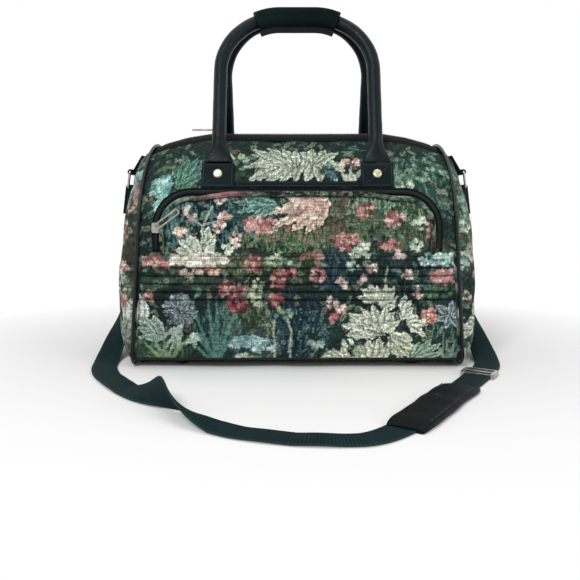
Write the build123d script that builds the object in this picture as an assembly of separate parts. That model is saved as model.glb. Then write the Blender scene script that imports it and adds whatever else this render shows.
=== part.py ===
from build123d import *
import math
import os

# Soft holdall in woven tapestry with two rolled handles, a zipped front pocket and a shoulder strap.
# Front is -Y, up is +Z, and the feet stand on z = 0. Lengths are in millimetres, angles in degrees.

# Body
FOOT_HEIGHT = 6.0
BODY_HEIGHT = 280.0
END_HEIGHT = 264.0
BODY_DEPTH = 190.0
BASE_LENGTH = 402.0
END_LEAN = 4.6
FLAT_LENGTH = BASE_LENGTH - 182.0
TOP_DROP_LENGTH = 55.0
BASE_CORNER = 18.0
LEAST_CORNER = 12.0
WALL = 3.0
END_BULGE = 28.0
PIPING_RADIUS = 2.2
PIPING_STAND_OFF = 0.7
# How far along the fall towards each end the crown is checked, and the share of the fall reached there
SHOULDER_ALONG = 0.55
SHOULDER_FALL = 0.30
SEAM_FALL = 0.72
# Dome of the end panels: depth in from the seam against the share of the full bulge
DOME_PROFILE = [(0.0, 0.0), (3.0, 0.24), (9.0, 0.51), (20.0, 0.76), (36.0, 0.92), (60.0, 1.0)]
BAND_HALF = 46.0
TAPE_HALF = 16.0
FIT = 0.1
MOVING_GAP = 0.3
CROWN_Z = FOOT_HEIGHT + BODY_HEIGHT - BODY_DEPTH / 2
FRONT = -BODY_DEPTH / 2

# Pocket and lower panel on the front
POCKET_HALF = BASE_LENGTH / 2 - 39.0
POCKET_TOP = CROWN_Z + 16.0
POCKET_CORNER = 38.0
POCKET_GUSSET = 3.5
GUSSET_WIDTH = 9.0
POCKET_SUNK = 12.0
POCKET_PANEL = 3.6
POCKET_PIPING = 2.2
LOWER_TOP = CROWN_Z - 49.0
LOWER_BOTTOM = 12.0
LOWER_PROUD = 10.0
LOWER_HEM = 3.0
LOWER_EDGE = 2.0
LOWER_SWELL = 36.0
RIB_PITCH = 9.5
RIB_COUNT = 4
RIB_RISE = 2.0
RIB_SUNK = 3.0
FIRST_RIB = LOWER_TOP - 14.0

# Zips
TAPE_THICKNESS = 1.2
POCKET_TAPE_WIDTH = 10.0
TEETH_WIDTH = 4.6
TEETH_SIDE_GAP = 0.75
TEETH_HEIGHT = 1.6
SLIDER_LENGTH = 12.0
SLIDER_WIDTH = 9.0
SLIDER_WALL = 1.3
SLIDER_CORNER = 2.0
BRIDGE_RISE = 1.5
BRIDGE_LENGTH = 4.4
BRIDGE_WIDTH = 2.0
PULL_LENGTH = 34.0
PULL_WIDTH = 7.6
PULL_WIRE = 1.8
PIVOT_RADIUS = 0.8
PIVOT_CLEARANCE = 0.08
MAIN_SLIDER_X = 12.0 - FLAT_LENGTH / 2
POCKET_SLIDER_TURN = 2.0
POCKET_PULL_TURN = 35.0
POCKET_PULL_LIFT = 15.0

# Handles
HANDLE_HALF = FLAT_LENGTH / 2 - 16.0
HANDLE_RADIUS = 8.3
HANDLE_BEND = 72.0
HANDLE_TOP = BODY_HEIGHT + 148.0
HANDLE_GAP = 0.9
FLARE_LENGTH = 30.0
FLARE_HALF = 17.0
FLARE_SUNK = 3.0
FLARE_STEP = 0.3
TAB_LOW = CROWN_Z + 27.0
TAB_HIGH = TAB_LOW + 28.0
TAB_HALF = 19.0
TAB_THICKNESS = 4.0
TRIM_HEIGHT = 7.0
TRIM_THICKNESS = 1.6
RIVET_RADIUS = 5.8
RIVET_DOME = 2.2
SHANK_RADIUS = 2.0
CLINCH_RADIUS = 4.0
CLINCH_THICKNESS = 1.2
GRIP_HALF = 50.0
GRIP_THICKNESS = 3.0
GRIP_CLEARANCE = 0.8
GRIP_SIDE_ROOM = 6.4
GRIP_CORNER = 6.0

# Base
FOOT_RADIUS = 9.8
FOOT_X = BASE_LENGTH / 2 - 57.0
FOOT_Y = BODY_DEPTH / 2 - 27.0
BOARD_THICKNESS = 2.5
BOARD_MARGIN = 14.0

# Strap and its rings
STRAP_WIDTH = 30.0
STRAP_THICKNESS = 2.0
STRAP_GAP = 0.2
RING_WIRE = 1.6
RING_INSIDE = 31.0
RING_DROP = 20.0
RING_X = BASE_LENGTH / 2 + END_BULGE - 15.0
RING_Z = BODY_HEIGHT - 42.0
RING_LEAN = 8.0
LOOP_LENGTH = 26.0
LOOP_CLEARANCE = 0.1
RING_BEND = 2.0
RING_TAB_LENGTH = 26.0
RING_TAB_LEAN = 32.0
PAD_LENGTH = 160.0
PAD_WIDTH = 42.0
PAD_THICKNESS = 9.0
PAD_CORNER = 4.0
PAD_ROUND = 3.0
ADJUSTER_LENGTH = 25.0
ADJUSTER_BAR = 3.0
# Plan of the strap where it lies on the floor, from the left end to the right one
FLOOR_ROUTE = [
    (-240, -62),
    (-232, -112),
    (-208, -158),
    (-176, -204),
    (-140, -246),
    (-108, -287),
    (-70, -318),
    (-26, -337),
    (24, -346),
    (80, -340),
    (194, -160),
    (230, -100),
    (240, -62),
]
# The run of that plan on which the shoulder pad sits; the adjuster sits on the next one
PAD_RUN = FLOOR_ROUTE.index((80, -340))
# Centre of the webbing where it comes down each end of the bag: out from the middle, forward, up, then
# the turn of its face away from the end panel
DROP_STATIONS = [(0, 118, 0), (3, 62, 25), (-22, 20, 62)]
DROP_OUT = [229.0, 234.0, 239.0]

# The lower panel stands proud of the front, so the body sits back by half of that to stay centred
SET_BACK = (LOWER_PROUD + RIB_RISE) / 2


def upright(x):
    return Plane(origin=(x, 0, FOOT_HEIGHT), x_dir=(0, 1, 0), z_dir=(1, 0, 0))


def leaning(side, out=0.0):
    """Plane of the end seam, which leans in towards the top; out moves it along its normal."""
    lean = math.radians(END_LEAN)
    normal = Vector(math.cos(lean), 0, side * math.sin(lean))
    origin = Vector(side * BASE_LENGTH / 2, 0, FOOT_HEIGHT) + normal * side * out
    return Plane(origin=origin, x_dir=(0, 1, 0), z_dir=normal)


def section_edges(height, inset=0.0):
    """Cross-section of the bag: flat base, upright walls and a half-round top."""
    half = BODY_DEPTH / 2 - inset
    corner = max(BASE_CORNER - inset, LEAST_CORNER)
    low = inset
    spring = height - BODY_DEPTH / 2
    return [
        Line((-half + corner, low), (half - corner, low)),
        CenterArc((half - corner, low + corner), corner, -90, 90),
        Line((half, low + corner), (half, spring)),
        CenterArc((0, spring), half, 0, 90),
        CenterArc((0, spring), half, 90, 90),
        Line((-half, spring), (-half, low + corner)),
        CenterArc((-half + corner, low + corner), corner, 180, 90),
    ]


def section(plane, height, inset=0.0):
    return plane * make_face(section_edges(height, inset))


def body_solid(inset=0.0):
    """The whole bag between its end seams, or the same form set in by a wall."""
    start = FLAT_LENGTH / 2
    middle = extrude(section(upright(-start), BODY_HEIGHT, inset), FLAT_LENGTH, dir=(1, 0, 0))
    stations = [section(upright(start), BODY_HEIGHT, inset)]
    for along, fall in ((SHOULDER_ALONG, SHOULDER_FALL), (1.0, SEAM_FALL)):
        height = BODY_HEIGHT - (BODY_HEIGHT - END_HEIGHT) * fall
        stations.append(section(upright(start + TOP_DROP_LENGTH * along), height, inset))
    stations.append(section(leaning(1), END_HEIGHT, inset))
    right = loft(stations, ruled=True)
    return middle + [right, mirror(right, Plane.YZ)]


def end_dome(side, wall):
    """Domed end of the bag, full near the seam and flatter in the middle."""
    faces = []
    for depth, share in DOME_PROFILE:
        out = max(END_BULGE * share - wall, 0.0)
        faces.append(section(leaning(side, out), END_HEIGHT, depth + wall))
    return loft(faces, ruled=True)


def block(low, high):
    """Box between two corners."""
    size = [b - a for a, b in zip(low, high)]
    middle = [(a + b) / 2 for a, b in zip(low, high)]
    return Pos(*middle) * Box(*size)


def rope(edges, face):
    """Section carried along straight and arc edges of one plane; the plane is Plane.XY."""
    pieces = []
    for edge in edges:
        start = Plane(origin=edge @ 0, x_dir=(0, 0, 1), z_dir=edge % 0) * face
        if edge.geom_type == GeomType.LINE:
            pieces.append(extrude(start, edge.length, dir=edge % 0))
            continue
        spin = (edge % 0).cross(edge % 0.5).Z
        axis = Axis(edge.arc_center, (0, 0, math.copysign(1, spin)))
        pieces.append(revolve(start, axis, math.degrees(edge.length / edge.radius)))
    return pieces[0] + pieces[1:]


def hole_places():
    """Where the rivets go through the tabs: x, y and z on the crown and the outward direction."""
    rise = math.asin(((TAB_LOW + TAB_HIGH) / 2 - CROWN_Z) / (BODY_DEPTH / 2))
    places = []
    for side in (-1, 1):
        for face in (-1, 1):
            out = Vector(0, face * math.cos(rise), math.sin(rise))
            foot = Vector(side * HANDLE_HALF, 0, CROWN_Z) + out * (BODY_DEPTH / 2)
            places.append(Plane(origin=foot, x_dir=(1, 0, 0), z_dir=out))
    return places


def foot_places():
    return [(x, y) for x in (-FOOT_X, FOOT_X) for y in (-FOOT_Y, FOOT_Y)]


def shell_parts(nodes):
    """Front, back, base, dark bands and zip tape, all cut from one wall."""
    shell = body_solid() - body_solid(WALL)
    far = BASE_LENGTH
    split = FOOT_HEIGHT + BASE_CORNER
    base = shell & block((-far, -far, 0), (far, far, split))
    for x, y in foot_places():
        base -= Pos(x, y, FOOT_HEIGHT + WALL / 2) * Cylinder(SHANK_RADIUS + FIT, 2 * WALL)
    nodes["base_panel"] = base
    holes = [place * Cylinder(SHANK_RADIUS + FIT, 4 * WALL) for place in hole_places()]
    for name, face in (("front_panel", -1), ("back_panel", 1)):
        outer = sorted((face * BAND_HALF, face * far))
        wall = shell & block((-far, outer[0], split), (far, outer[1], BODY_HEIGHT + far))
        inner = sorted((0, face * BAND_HALF))
        wall += shell & block((-far, inner[0], split), (far, inner[1], CROWN_Z))
        nodes[name] = wall - holes
    for name, face in (("top_band_front", -1), ("top_band_back", 1)):
        span = sorted((face * TAPE_HALF, face * BAND_HALF))
        nodes[name] = shell & block((-far, span[0], CROWN_Z), (far, span[1], BODY_HEIGHT + far))
    nodes["main_zip_tape"] = shell & block(
        (-far, -TAPE_HALF, CROWN_Z), (far, TAPE_HALF, BODY_HEIGHT + far)
    )


def raised(thickness, region):
    """A layer of this thickness on the outside of the body, within a region."""
    return (body_solid(-thickness) - body_solid()) & region


def end_parts(nodes):
    for name, side in (("left", -1), ("right", 1)):
        nodes["end_panel_" + name] = end_dome(side, 0.0) - end_dome(side, WALL)
        edges = section_edges(END_HEIGHT, -(PIPING_RADIUS + PIPING_STAND_OFF))
        nodes["end_piping_" + name] = leaning(side) * rope(edges, Circle(PIPING_RADIUS))


def stud(radius, height, through):
    """Domed stud on z = 0, its shank going down through the layers to a clinched end."""
    flat = radius / 2
    shoulder = (radius * 0.87, height * 0.62)
    low = -through - FIT
    bottom = low - CLINCH_THICKNESS
    profile = [
        Line((0, height), (flat, height)),
        ThreePointArc((flat, height), shoulder, (radius, 0)),
        Line((radius, 0), (SHANK_RADIUS, 0)),
        Line((SHANK_RADIUS, 0), (SHANK_RADIUS, low)),
        Line((SHANK_RADIUS, low), (CLINCH_RADIUS, low)),
        Line((CLINCH_RADIUS, low), (CLINCH_RADIUS, bottom)),
        Line((CLINCH_RADIUS, bottom), (0, bottom)),
        Line((0, bottom), (0, height)),
    ]
    return revolve(Plane.XZ * make_face(profile), Axis.Z)


def base_parts(nodes):
    inside = FOOT_HEIGHT + WALL
    length = BASE_LENGTH - 2 * BOARD_MARGIN
    depth = BODY_DEPTH - 2 * WALL - 2 * BOARD_MARGIN
    board = Pos(0, 0, inside + FIT + BOARD_THICKNESS / 2) * Box(length, depth, BOARD_THICKNESS)
    feet = []
    top = inside + FIT + BOARD_THICKNESS
    for x, y in foot_places():
        board -= Pos(x, y, top) * Cylinder(SHANK_RADIUS + FIT, 4 * BOARD_THICKNESS)
        foot = Rot(180, 0, 0) * stud(FOOT_RADIUS, FOOT_HEIGHT, top - FOOT_HEIGHT)
        feet.append(Pos(x, y, FOOT_HEIGHT) * foot)
    nodes["base_board"] = board
    nodes["feet"] = feet


def arch_outline(half, top, corner, low):
    """Edges of an arch with rounded top corners, from its left foot round to its right foot."""
    return [
        Line((-half, low), (-half, top - corner)),
        CenterArc((-half + corner, top - corner), corner, 180, -90),
        Line((-half + corner, top), (half - corner, top)),
        CenterArc((half - corner, top - corner), corner, 90, -90),
        Line((half, top - corner), (half, low)),
    ]


def arch_face(grow, low):
    """Filled arch of the pocket, larger all round by grow."""
    half = POCKET_HALF + grow
    edges = arch_outline(half, POCKET_TOP + grow, POCKET_CORNER + grow, low)
    return make_face(edges + [Line((half, low), (-half, low))])


def arch_band(grow, inner):
    """Band round the pocket between two arches."""
    return arch_face(grow, LOWER_TOP) - arch_face(inner, LOWER_TOP - 1)


def front_plane(out):
    """Plane parallel to the front, out in front of it, with its own y upwards."""
    return Plane(origin=(0, FRONT - out, 0), x_dir=(1, 0, 0), z_dir=(0, -1, 0))


def on_front(face, back, thickness):
    """Solid on the front of the bag, from back mm out to thickness more."""
    return extrude(front_plane(back) * face, thickness, dir=(0, -1, 0))


def pocket_parts(nodes):
    outer = body_solid()
    gusset = arch_band(0, -GUSSET_WIDTH)
    nodes["pocket_gusset"] = on_front(gusset, -POCKET_SUNK, POCKET_SUNK + POCKET_GUSSET) - outer
    rim = 2 * POCKET_PIPING + FIT
    nodes["pocket_panel"] = on_front(arch_face(-rim, LOWER_TOP), POCKET_GUSSET, POCKET_PANEL)
    tape = arch_band(POCKET_TAPE_WIDTH, FIT)
    nodes["pocket_zip_tape"] = on_front(tape, -POCKET_SUNK, POCKET_SUNK + TAPE_THICKNESS) - outer
    middle = POCKET_TAPE_WIDTH / 2
    teeth = arch_band(middle + TEETH_WIDTH / 2, middle - TEETH_WIDTH / 2)
    nodes["pocket_zip_teeth"] = on_front(teeth, TAPE_THICKNESS, TEETH_HEIGHT)
    edge = POCKET_PIPING
    edges = arch_outline(POCKET_HALF - edge, POCKET_TOP - edge, POCKET_CORNER - edge, LOWER_TOP)
    seat = front_plane(POCKET_GUSSET + POCKET_PIPING)
    nodes["pocket_piping"] = seat * rope(edges, Circle(POCKET_PIPING))


def lower_panel(nodes):
    """Full-width panel across the lower front, with padded ribs along its top."""
    proud = FRONT - LOWER_PROUD
    outline = Polyline(
        (FRONT, LOWER_BOTTOM),
        (FRONT - LOWER_HEM, LOWER_BOTTOM),
        (proud, LOWER_BOTTOM + LOWER_SWELL),
        (proud, LOWER_TOP),
        (FRONT, LOWER_TOP),
        close=True,
    )
    face = make_face(outline)
    for rib in range(RIB_COUNT):
        height = FIRST_RIB - RIB_PITCH * rib
        face += Pos(proud + RIB_SUNK, height) * Circle(RIB_SUNK + RIB_RISE)
    across = Plane(origin=(-BASE_LENGTH / 2, 0, 0), x_dir=(0, 1, 0), z_dir=(1, 0, 0))
    panel = extrude(across * face, BASE_LENGTH, dir=(1, 0, 0))
    half = BASE_LENGTH / 2 - LOWER_HEM
    swell = proud - 2 * RIB_RISE
    plan = Polyline(
        (-half, FRONT),
        (-half, FRONT - LOWER_EDGE),
        (-half + LOWER_SWELL, swell),
        (half - LOWER_SWELL, swell),
        (half, FRONT - LOWER_EDGE),
        (half, FRONT),
        close=True,
    )
    keep = extrude(make_face(plan), LOWER_TOP + FOOT_HEIGHT, dir=(0, 0, 1))
    nodes["lower_panel"] = (panel & keep) - [beyond_seam(side) for side in (-1, 1)]


def beyond_seam(side):
    """Space beyond the end seam, kept clear for the piping."""
    seam = leaning(side, -2 * PIPING_RADIUS)
    room = Plane(origin=seam.origin, x_dir=(0, 1, 0), z_dir=seam.z_dir * side)
    return room * Pos(0, 0, BODY_DEPTH / 2) * Box(4 * BODY_DEPTH, 4 * BODY_HEIGHT, BODY_DEPTH)


def handle_frame():
    """Foot of the front handle on the crown and the lean of its plane."""
    rise = math.asin((TAB_HIGH - CROWN_Z) / (BODY_DEPTH / 2))
    reach = BODY_DEPTH / 2 + TAB_THICKNESS / 2 + FIT
    foot = Vector(0, -reach * math.cos(rise), CROWN_Z + reach * math.sin(rise))
    top_y = -(HANDLE_RADIUS + HANDLE_GAP / 2)
    lean = math.atan2(top_y - foot.Y, HANDLE_TOP - foot.Z)
    height = math.hypot(top_y - foot.Y, HANDLE_TOP - foot.Z)
    return foot, rise, lean, height


def across(origin, direction):
    """Plane square to a direction, with its x along the bag."""
    return Plane(origin=origin, x_dir=(1, 0, 0), z_dir=direction)


def handle_solid():
    foot, rise, lean, height = handle_frame()
    frame = Plane(origin=foot, x_dir=(1, 0, 0), z_dir=(0, -math.cos(lean), math.sin(lean)))
    outline = FilletPolyline(
        (-HANDLE_HALF, FLARE_LENGTH),
        (-HANDLE_HALF, height),
        (HANDLE_HALF, height),
        (HANDLE_HALF, FLARE_LENGTH),
        radius=HANDLE_BEND,
    )
    handle = frame * rope(outline.edges(), Circle(HANDLE_RADIUS))
    along = Vector(0, math.sin(lean), math.cos(lean))
    seat = Vector(0, math.sin(rise), math.cos(rise))
    for side in (-1, 1):
        base = foot + Vector(side * HANDLE_HALF, 0, 0)
        halfway = base + (along * 0.6 + seat * 0.4) * (FLARE_LENGTH / 2)
        sunk = base + along * (FLARE_LENGTH + FLARE_SUNK)
        inside = HANDLE_RADIUS - FLARE_STEP
        handle += loft([
            across(base, seat) * Ellipse(FLARE_HALF, TAB_THICKNESS / 2 - FIT),
            across(halfway, along) * Ellipse(FLARE_HALF * 0.78, HANDLE_RADIUS * 0.55),
            across(sunk, along) * Ellipse(inside, inside - FIT),
        ])
    return handle


def grip_solid():
    """Leather wrap round both handles at the top, following their bend."""
    flat = HANDLE_HALF - HANDLE_BEND
    turn = math.degrees(math.asin((GRIP_HALF - flat) / HANDLE_BEND))
    level = HANDLE_TOP - HANDLE_BEND
    edges = [
        CenterArc((-flat, level), HANDLE_BEND, 90 + turn, -turn),
        Line((-flat, HANDLE_TOP), (flat, HANDLE_TOP)),
        CenterArc((flat, level), HANDLE_BEND, 90, -turn),
    ]
    high = 2 * (HANDLE_RADIUS + GRIP_CLEARANCE)
    wide = 4 * HANDLE_RADIUS + HANDLE_GAP + GRIP_SIDE_ROOM
    wall = 2 * GRIP_THICKNESS
    outer = RectangleRounded(wide + wall, high + wall, GRIP_CORNER + GRIP_THICKNESS)
    inner = RectangleRounded(wide, high, GRIP_CORNER)
    return Plane.XZ * rope(edges, outer - inner)


def rivet(place):
    """Domed rivet with its shank through tab and wall, clinched inside."""
    seat = TAB_THICKNESS + FIT
    return place * Pos(0, 0, seat) * stud(RIVET_RADIUS, RIVET_DOME, seat + WALL)


def handle_parts(nodes):
    front = handle_solid()
    nodes["handle_front"] = front
    nodes["handle_back"] = mirror(front, Plane.XZ)
    nodes["grip_wrap"] = grip_solid()
    holes = [place * Cylinder(SHANK_RADIUS + FIT, 12 * SHANK_RADIUS) for place in hole_places()]
    for face_name, face in (("front", -1), ("back", 1)):
        y = sorted((0, face * BODY_DEPTH))
        for side_name, side in (("left", -1), ("right", 1)):
            x = side * HANDLE_HALF
            region = block((x - TAB_HALF, y[0], TAB_LOW), (x + TAB_HALF, y[1], TAB_HIGH))
            nodes[f"handle_tab_{face_name}_{side_name}"] = raised(TAB_THICKNESS, region) - holes
        reach = HANDLE_HALF - TAB_HALF - FIT
        strip = block((-reach, y[0], TAB_LOW), (reach, y[1], TAB_LOW + TRIM_HEIGHT))
        nodes["trim_strip_" + face_name] = raised(TRIM_THICKNESS, strip)
    nodes["rivets"] = [rivet(place) for place in hole_places()]


def zip_slider():
    """Slider that straddles the teeth: it runs along x, with z out from the tape."""
    channel_wide = TEETH_WIDTH + 2 * TEETH_SIDE_GAP
    channel_high = TEETH_HEIGHT + MOVING_GAP
    deck = MOVING_GAP + SLIDER_WALL + channel_high
    body = Pos(0, 0, MOVING_GAP + deck / 2) * Box(SLIDER_LENGTH, SLIDER_WIDTH, deck)
    body = fillet(body.edges().filter_by(Axis.Z), SLIDER_CORNER)
    body -= Pos(0, 0, channel_high / 2) * Box(2 * SLIDER_LENGTH, channel_wide, channel_high)
    top = MOVING_GAP + deck
    eye = PIVOT_RADIUS + PIVOT_CLEARANCE
    return body, top, eye


def bridge(turn):
    """Raised bridge on the slider, turned to the line of the pull."""
    body, top, eye = zip_slider()
    pivot = top + BRIDGE_RISE + eye
    high = BRIDGE_RISE + 2 * eye + SLIDER_WALL / 2
    lug = Pos(0, 0, top + high / 2 - FIT) * Box(BRIDGE_LENGTH, BRIDGE_WIDTH, high + 2 * FIT)
    lug -= Pos(0, 0, pivot) * Rot(90, 0, 0) * Cylinder(eye, 2 * SLIDER_WIDTH)
    return body + Rot(0, 0, turn) * lug, pivot


def pull(lift):
    """Long wire loop on a cross-bar; it points along +x from its bar, raised by lift."""
    arm = PULL_WIDTH / 2 - PULL_WIRE / 2
    long = PULL_LENGTH + PULL_WIDTH
    slot = SlotOverall(long, PULL_WIDTH) - SlotOverall(long - 2 * PULL_WIRE, PULL_WIDTH - 2 * PULL_WIRE)
    loop = extrude(Pos(PULL_LENGTH / 2, 0) * slot, PULL_WIRE / 2, both=True)
    loop -= Pos(-PULL_LENGTH / 2, 0, 0) * Box(PULL_LENGTH - 2 * PIVOT_RADIUS, 2 * PULL_WIDTH, 2 * PULL_WIDTH)
    bar = Rot(90, 0, 0) * Cylinder(PIVOT_RADIUS, 2 * arm + PULL_WIRE)
    return Rot(0, -lift, 0) * (loop + bar)


def slider_sets(nodes):
    top_of_tape = FOOT_HEIGHT + BODY_HEIGHT
    body, pivot = bridge(0)
    place = Pos(MAIN_SLIDER_X, 0, top_of_tape)
    nodes["main_slider"] = place * body
    nodes["main_pull"] = place * Pos(0, 0, pivot) * Rot(0, 0, 180) * pull(0)
    centre = (-POCKET_HALF + POCKET_CORNER, POCKET_TOP - POCKET_CORNER)
    radius = POCKET_CORNER + POCKET_TAPE_WIDTH / 2
    turn = math.radians(180 - POCKET_SLIDER_TURN)
    spot = (centre[0] + radius * math.cos(turn), centre[1] + radius * math.sin(turn))
    heading = 90 - POCKET_SLIDER_TURN
    body, pivot = bridge(POCKET_PULL_TURN - heading)
    face = front_plane(TAPE_THICKNESS)
    seat = face * Pos(spot[0], spot[1], 0)
    nodes["pocket_slider"] = seat * Rot(0, 0, heading) * body
    nodes["pocket_pull"] = seat * Pos(0, 0, pivot) * Rot(0, 0, POCKET_PULL_TURN) * pull(POCKET_PULL_LIFT)


def zip_teeth(nodes):
    reach = BASE_LENGTH / 2
    run = block((-reach, -TEETH_WIDTH / 2, CROWN_Z), (reach, TEETH_WIDTH / 2, 2 * BODY_HEIGHT))
    nodes["main_zip_teeth"] = raised(TEETH_HEIGHT, run) - [beyond_seam(side) for side in (-1, 1)]


def ring_frame(side):
    """Hanging frame of a strap ring: its own z runs up the ring and x points out of the bag."""
    lean = side * RING_LEAN
    return Pos(side * RING_X, 0, RING_Z) * Rot(0, -lean, 0)


def ring_solid():
    """Rectangular wire ring that hangs from its upper bar at the origin."""
    wide = RING_INSIDE + 2 * RING_WIRE
    outline = Pos(0, -RING_DROP / 2) * RectangleRounded(wide, RING_DROP, RING_BEND)
    return Plane.YZ * rope(outline.edges(), Circle(RING_WIRE))


def ring_tab(side):
    """Stitched tab sewn to the end panel that holds the ring's upper bar."""
    eye = RING_WIRE + LOOP_CLEARANCE
    outer = eye + STRAP_THICKNESS
    wide = RING_INSIDE - RING_BEND
    inward = sorted((-side * eye, -side * outer))
    wing = block((inward[0], -wide / 2, 0), (inward[1], wide / 2, RING_TAB_LENGTH))
    body = Rot(90, 0, 0) * Cylinder(outer, wide) + wing
    body -= Rot(90, 0, 0) * Cylinder(eye, 2 * RING_INSIDE)
    return Pos(side * RING_X, 0, RING_Z) * Rot(0, -side * RING_TAB_LEAN, 0) * body


def strap_loop():
    """Folded end of the webbing round the ring's lower bar, hanging from the ring."""
    eye = RING_WIRE + LOOP_CLEARANCE
    thick = STRAP_THICKNESS
    hub = Rot(90, 0, 0) * Cylinder(eye + thick, STRAP_WIDTH)
    tail = Pos(0, 0, -LOOP_LENGTH / 2) * Box(2 * thick + STRAP_GAP, STRAP_WIDTH, LOOP_LENGTH)
    loop = hub + tail - Rot(90, 0, 0) * Cylinder(eye, 2 * STRAP_WIDTH)
    return Pos(0, 0, -RING_DROP) * loop


def ring_parts(nodes):
    for name, side in (("left", -1), ("right", 1)):
        frame = ring_frame(side)
        nodes["strap_ring_" + name] = frame * ring_solid()
        nodes["ring_tab_" + name] = ring_tab(side) - end_dome(side, 0.0)
        nodes["strap_loop_" + name] = frame * strap_loop()


def flat_on_floor(start, end, thick):
    """End face of webbing that lies flat and leaves start towards end."""
    heading = Vector(end[0] - start[0], end[1] - start[1], 0).normalized()
    wide = Vector(0, 0, 1).cross(heading)
    plane = Plane(origin=(start[0], start[1], thick / 2), x_dir=wide, z_dir=heading)
    return plane * Rectangle(STRAP_WIDTH, thick)


def strap_drop(side, thick):
    """Webbing from its ring down the end of the bag, turning flat as it meets the floor."""
    frame = ring_frame(side)
    start = frame * Pos(0, 0, -RING_DROP - LOOP_LENGTH - MOVING_GAP) * Rectangle(thick, STRAP_WIDTH)
    faces = [start]
    for (y, z, turn), out in zip(DROP_STATIONS, DROP_OUT):
        lean = math.radians(turn)
        wide = Vector(-side * math.sin(lean), math.cos(lean), 0)
        down = Vector(0, -math.sin(lean), -math.cos(lean))
        normal = (down - wide * down.dot(wide)).normalized()
        plane = Plane(origin=(side * out, y, z), x_dir=normal.cross(wide), z_dir=normal)
        faces.append(plane * Rectangle(thick, STRAP_WIDTH))
    route = FLOOR_ROUTE if side < 0 else FLOOR_ROUTE[::-1]
    faces.append(flat_on_floor(route[0], route[1], thick))
    return faces


def floor_path(points, height):
    """Smooth path over the plan points, each bend as wide as its runs allow."""
    radii = []
    for before, here, after in zip(points, points[1:], points[2:]):
        first = Vector(here[0] - before[0], here[1] - before[1])
        second = Vector(after[0] - here[0], after[1] - here[1])
        turn = math.radians(first.get_angle(second))
        radii.append(0.45 * min(first.length, second.length) / math.tan(turn / 2))
    print("strap bends, radius in mm:", [round(radius) for radius in radii])
    return FilletPolyline(*[(x, y, height) for x, y in points], radius=radii)


def along_run(index, share):
    """Point at a share of one run of the floor route."""
    a, b = FLOOR_ROUTE[index], FLOOR_ROUTE[index + 1]
    return (a[0] + (b[0] - a[0]) * share, a[1] + (b[1] - a[1]) * share)


def run_frame(index, share):
    """Frame on the floor at a share of one run, with x along the strap."""
    a, b = FLOOR_ROUTE[index], FLOOR_ROUTE[index + 1]
    x, y = along_run(index, share)
    return Pos(x, y, 0) * Rot(0, 0, math.degrees(math.atan2(b[1] - a[1], b[0] - a[0])))


def webbing(points, thick):
    path = floor_path(points, thick / 2)
    face = flat_on_floor(points[0], points[1], thick)
    return sweep(face, path=path)


def strap_parts(nodes):
    doubled = 2 * STRAP_THICKNESS + STRAP_GAP
    split = along_run(PAD_RUN + 1, 0.5)
    nodes["strap_floor_run"] = webbing(FLOOR_ROUTE[: PAD_RUN + 2] + [split], STRAP_THICKNESS)
    nodes["strap_floor_end"] = webbing([split] + FLOOR_ROUTE[PAD_RUN + 2 :], doubled)
    nodes["strap_drop_left"] = loft(strap_drop(-1, STRAP_THICKNESS), ruled=True)
    nodes["strap_drop_right"] = loft(strap_drop(1, doubled), ruled=True)
    slot_wide = STRAP_WIDTH + 2 * FIT
    pad = Pos(0, 0, PAD_THICKNESS / 2) * Box(PAD_LENGTH, PAD_WIDTH, PAD_THICKNESS)
    pad = fillet(pad.edges().filter_by(Axis.Z), PAD_CORNER)
    pad = fillet(pad.faces().sort_by(Axis.Z)[-1].edges(), PAD_ROUND)
    pad -= Pos(0, 0, STRAP_THICKNESS / 2) * Box(2 * PAD_LENGTH, slot_wide, STRAP_THICKNESS + 2 * FIT)
    nodes["shoulder_pad"] = run_frame(PAD_RUN, 0.5) * pad
    high = doubled + 2 * FIT
    rise = high + ADJUSTER_BAR / 2
    frame = Pos(0, 0, rise / 2) * Box(ADJUSTER_LENGTH, STRAP_WIDTH + 3 * ADJUSTER_BAR, rise)
    frame = fillet(frame.edges().filter_by(Axis.Z), ADJUSTER_BAR)
    frame -= Pos(0, 0, high / 2) * Box(2 * ADJUSTER_LENGTH, slot_wide, high)
    slot = Box(ADJUSTER_LENGTH / 2 - 1.5 * ADJUSTER_BAR, slot_wide, 2 * high)
    for side in (-1, 1):
        frame -= Pos(side * ADJUSTER_LENGTH / 4, 0, high) * slot
    nodes["strap_adjuster"] = run_frame(PAD_RUN + 1, 0.5) * frame


def main():
    nodes = {}
    shell_parts(nodes)
    end_parts(nodes)
    base_parts(nodes)
    pocket_parts(nodes)
    lower_panel(nodes)
    handle_parts(nodes)
    zip_teeth(nodes)
    slider_sets(nodes)
    ring_parts(nodes)
    strap_parts(nodes)
    os.makedirs("parts", exist_ok=True)
    for name, shape in nodes.items():
        pieces = shape if isinstance(shape, list) else [shape]
        solids = [solid for piece in pieces for solid in piece.solids()]
        moved = [Pos(0, SET_BACK, 0) * solid for solid in solids]
        whole = moved[0] if len(moved) == 1 else Compound(children=moved)
        export_step(whole, f"parts/{name}.step")


main()
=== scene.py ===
import bpy
import math
import numpy as np
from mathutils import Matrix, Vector
from mathutils.bvhtree import BVHTree


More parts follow.
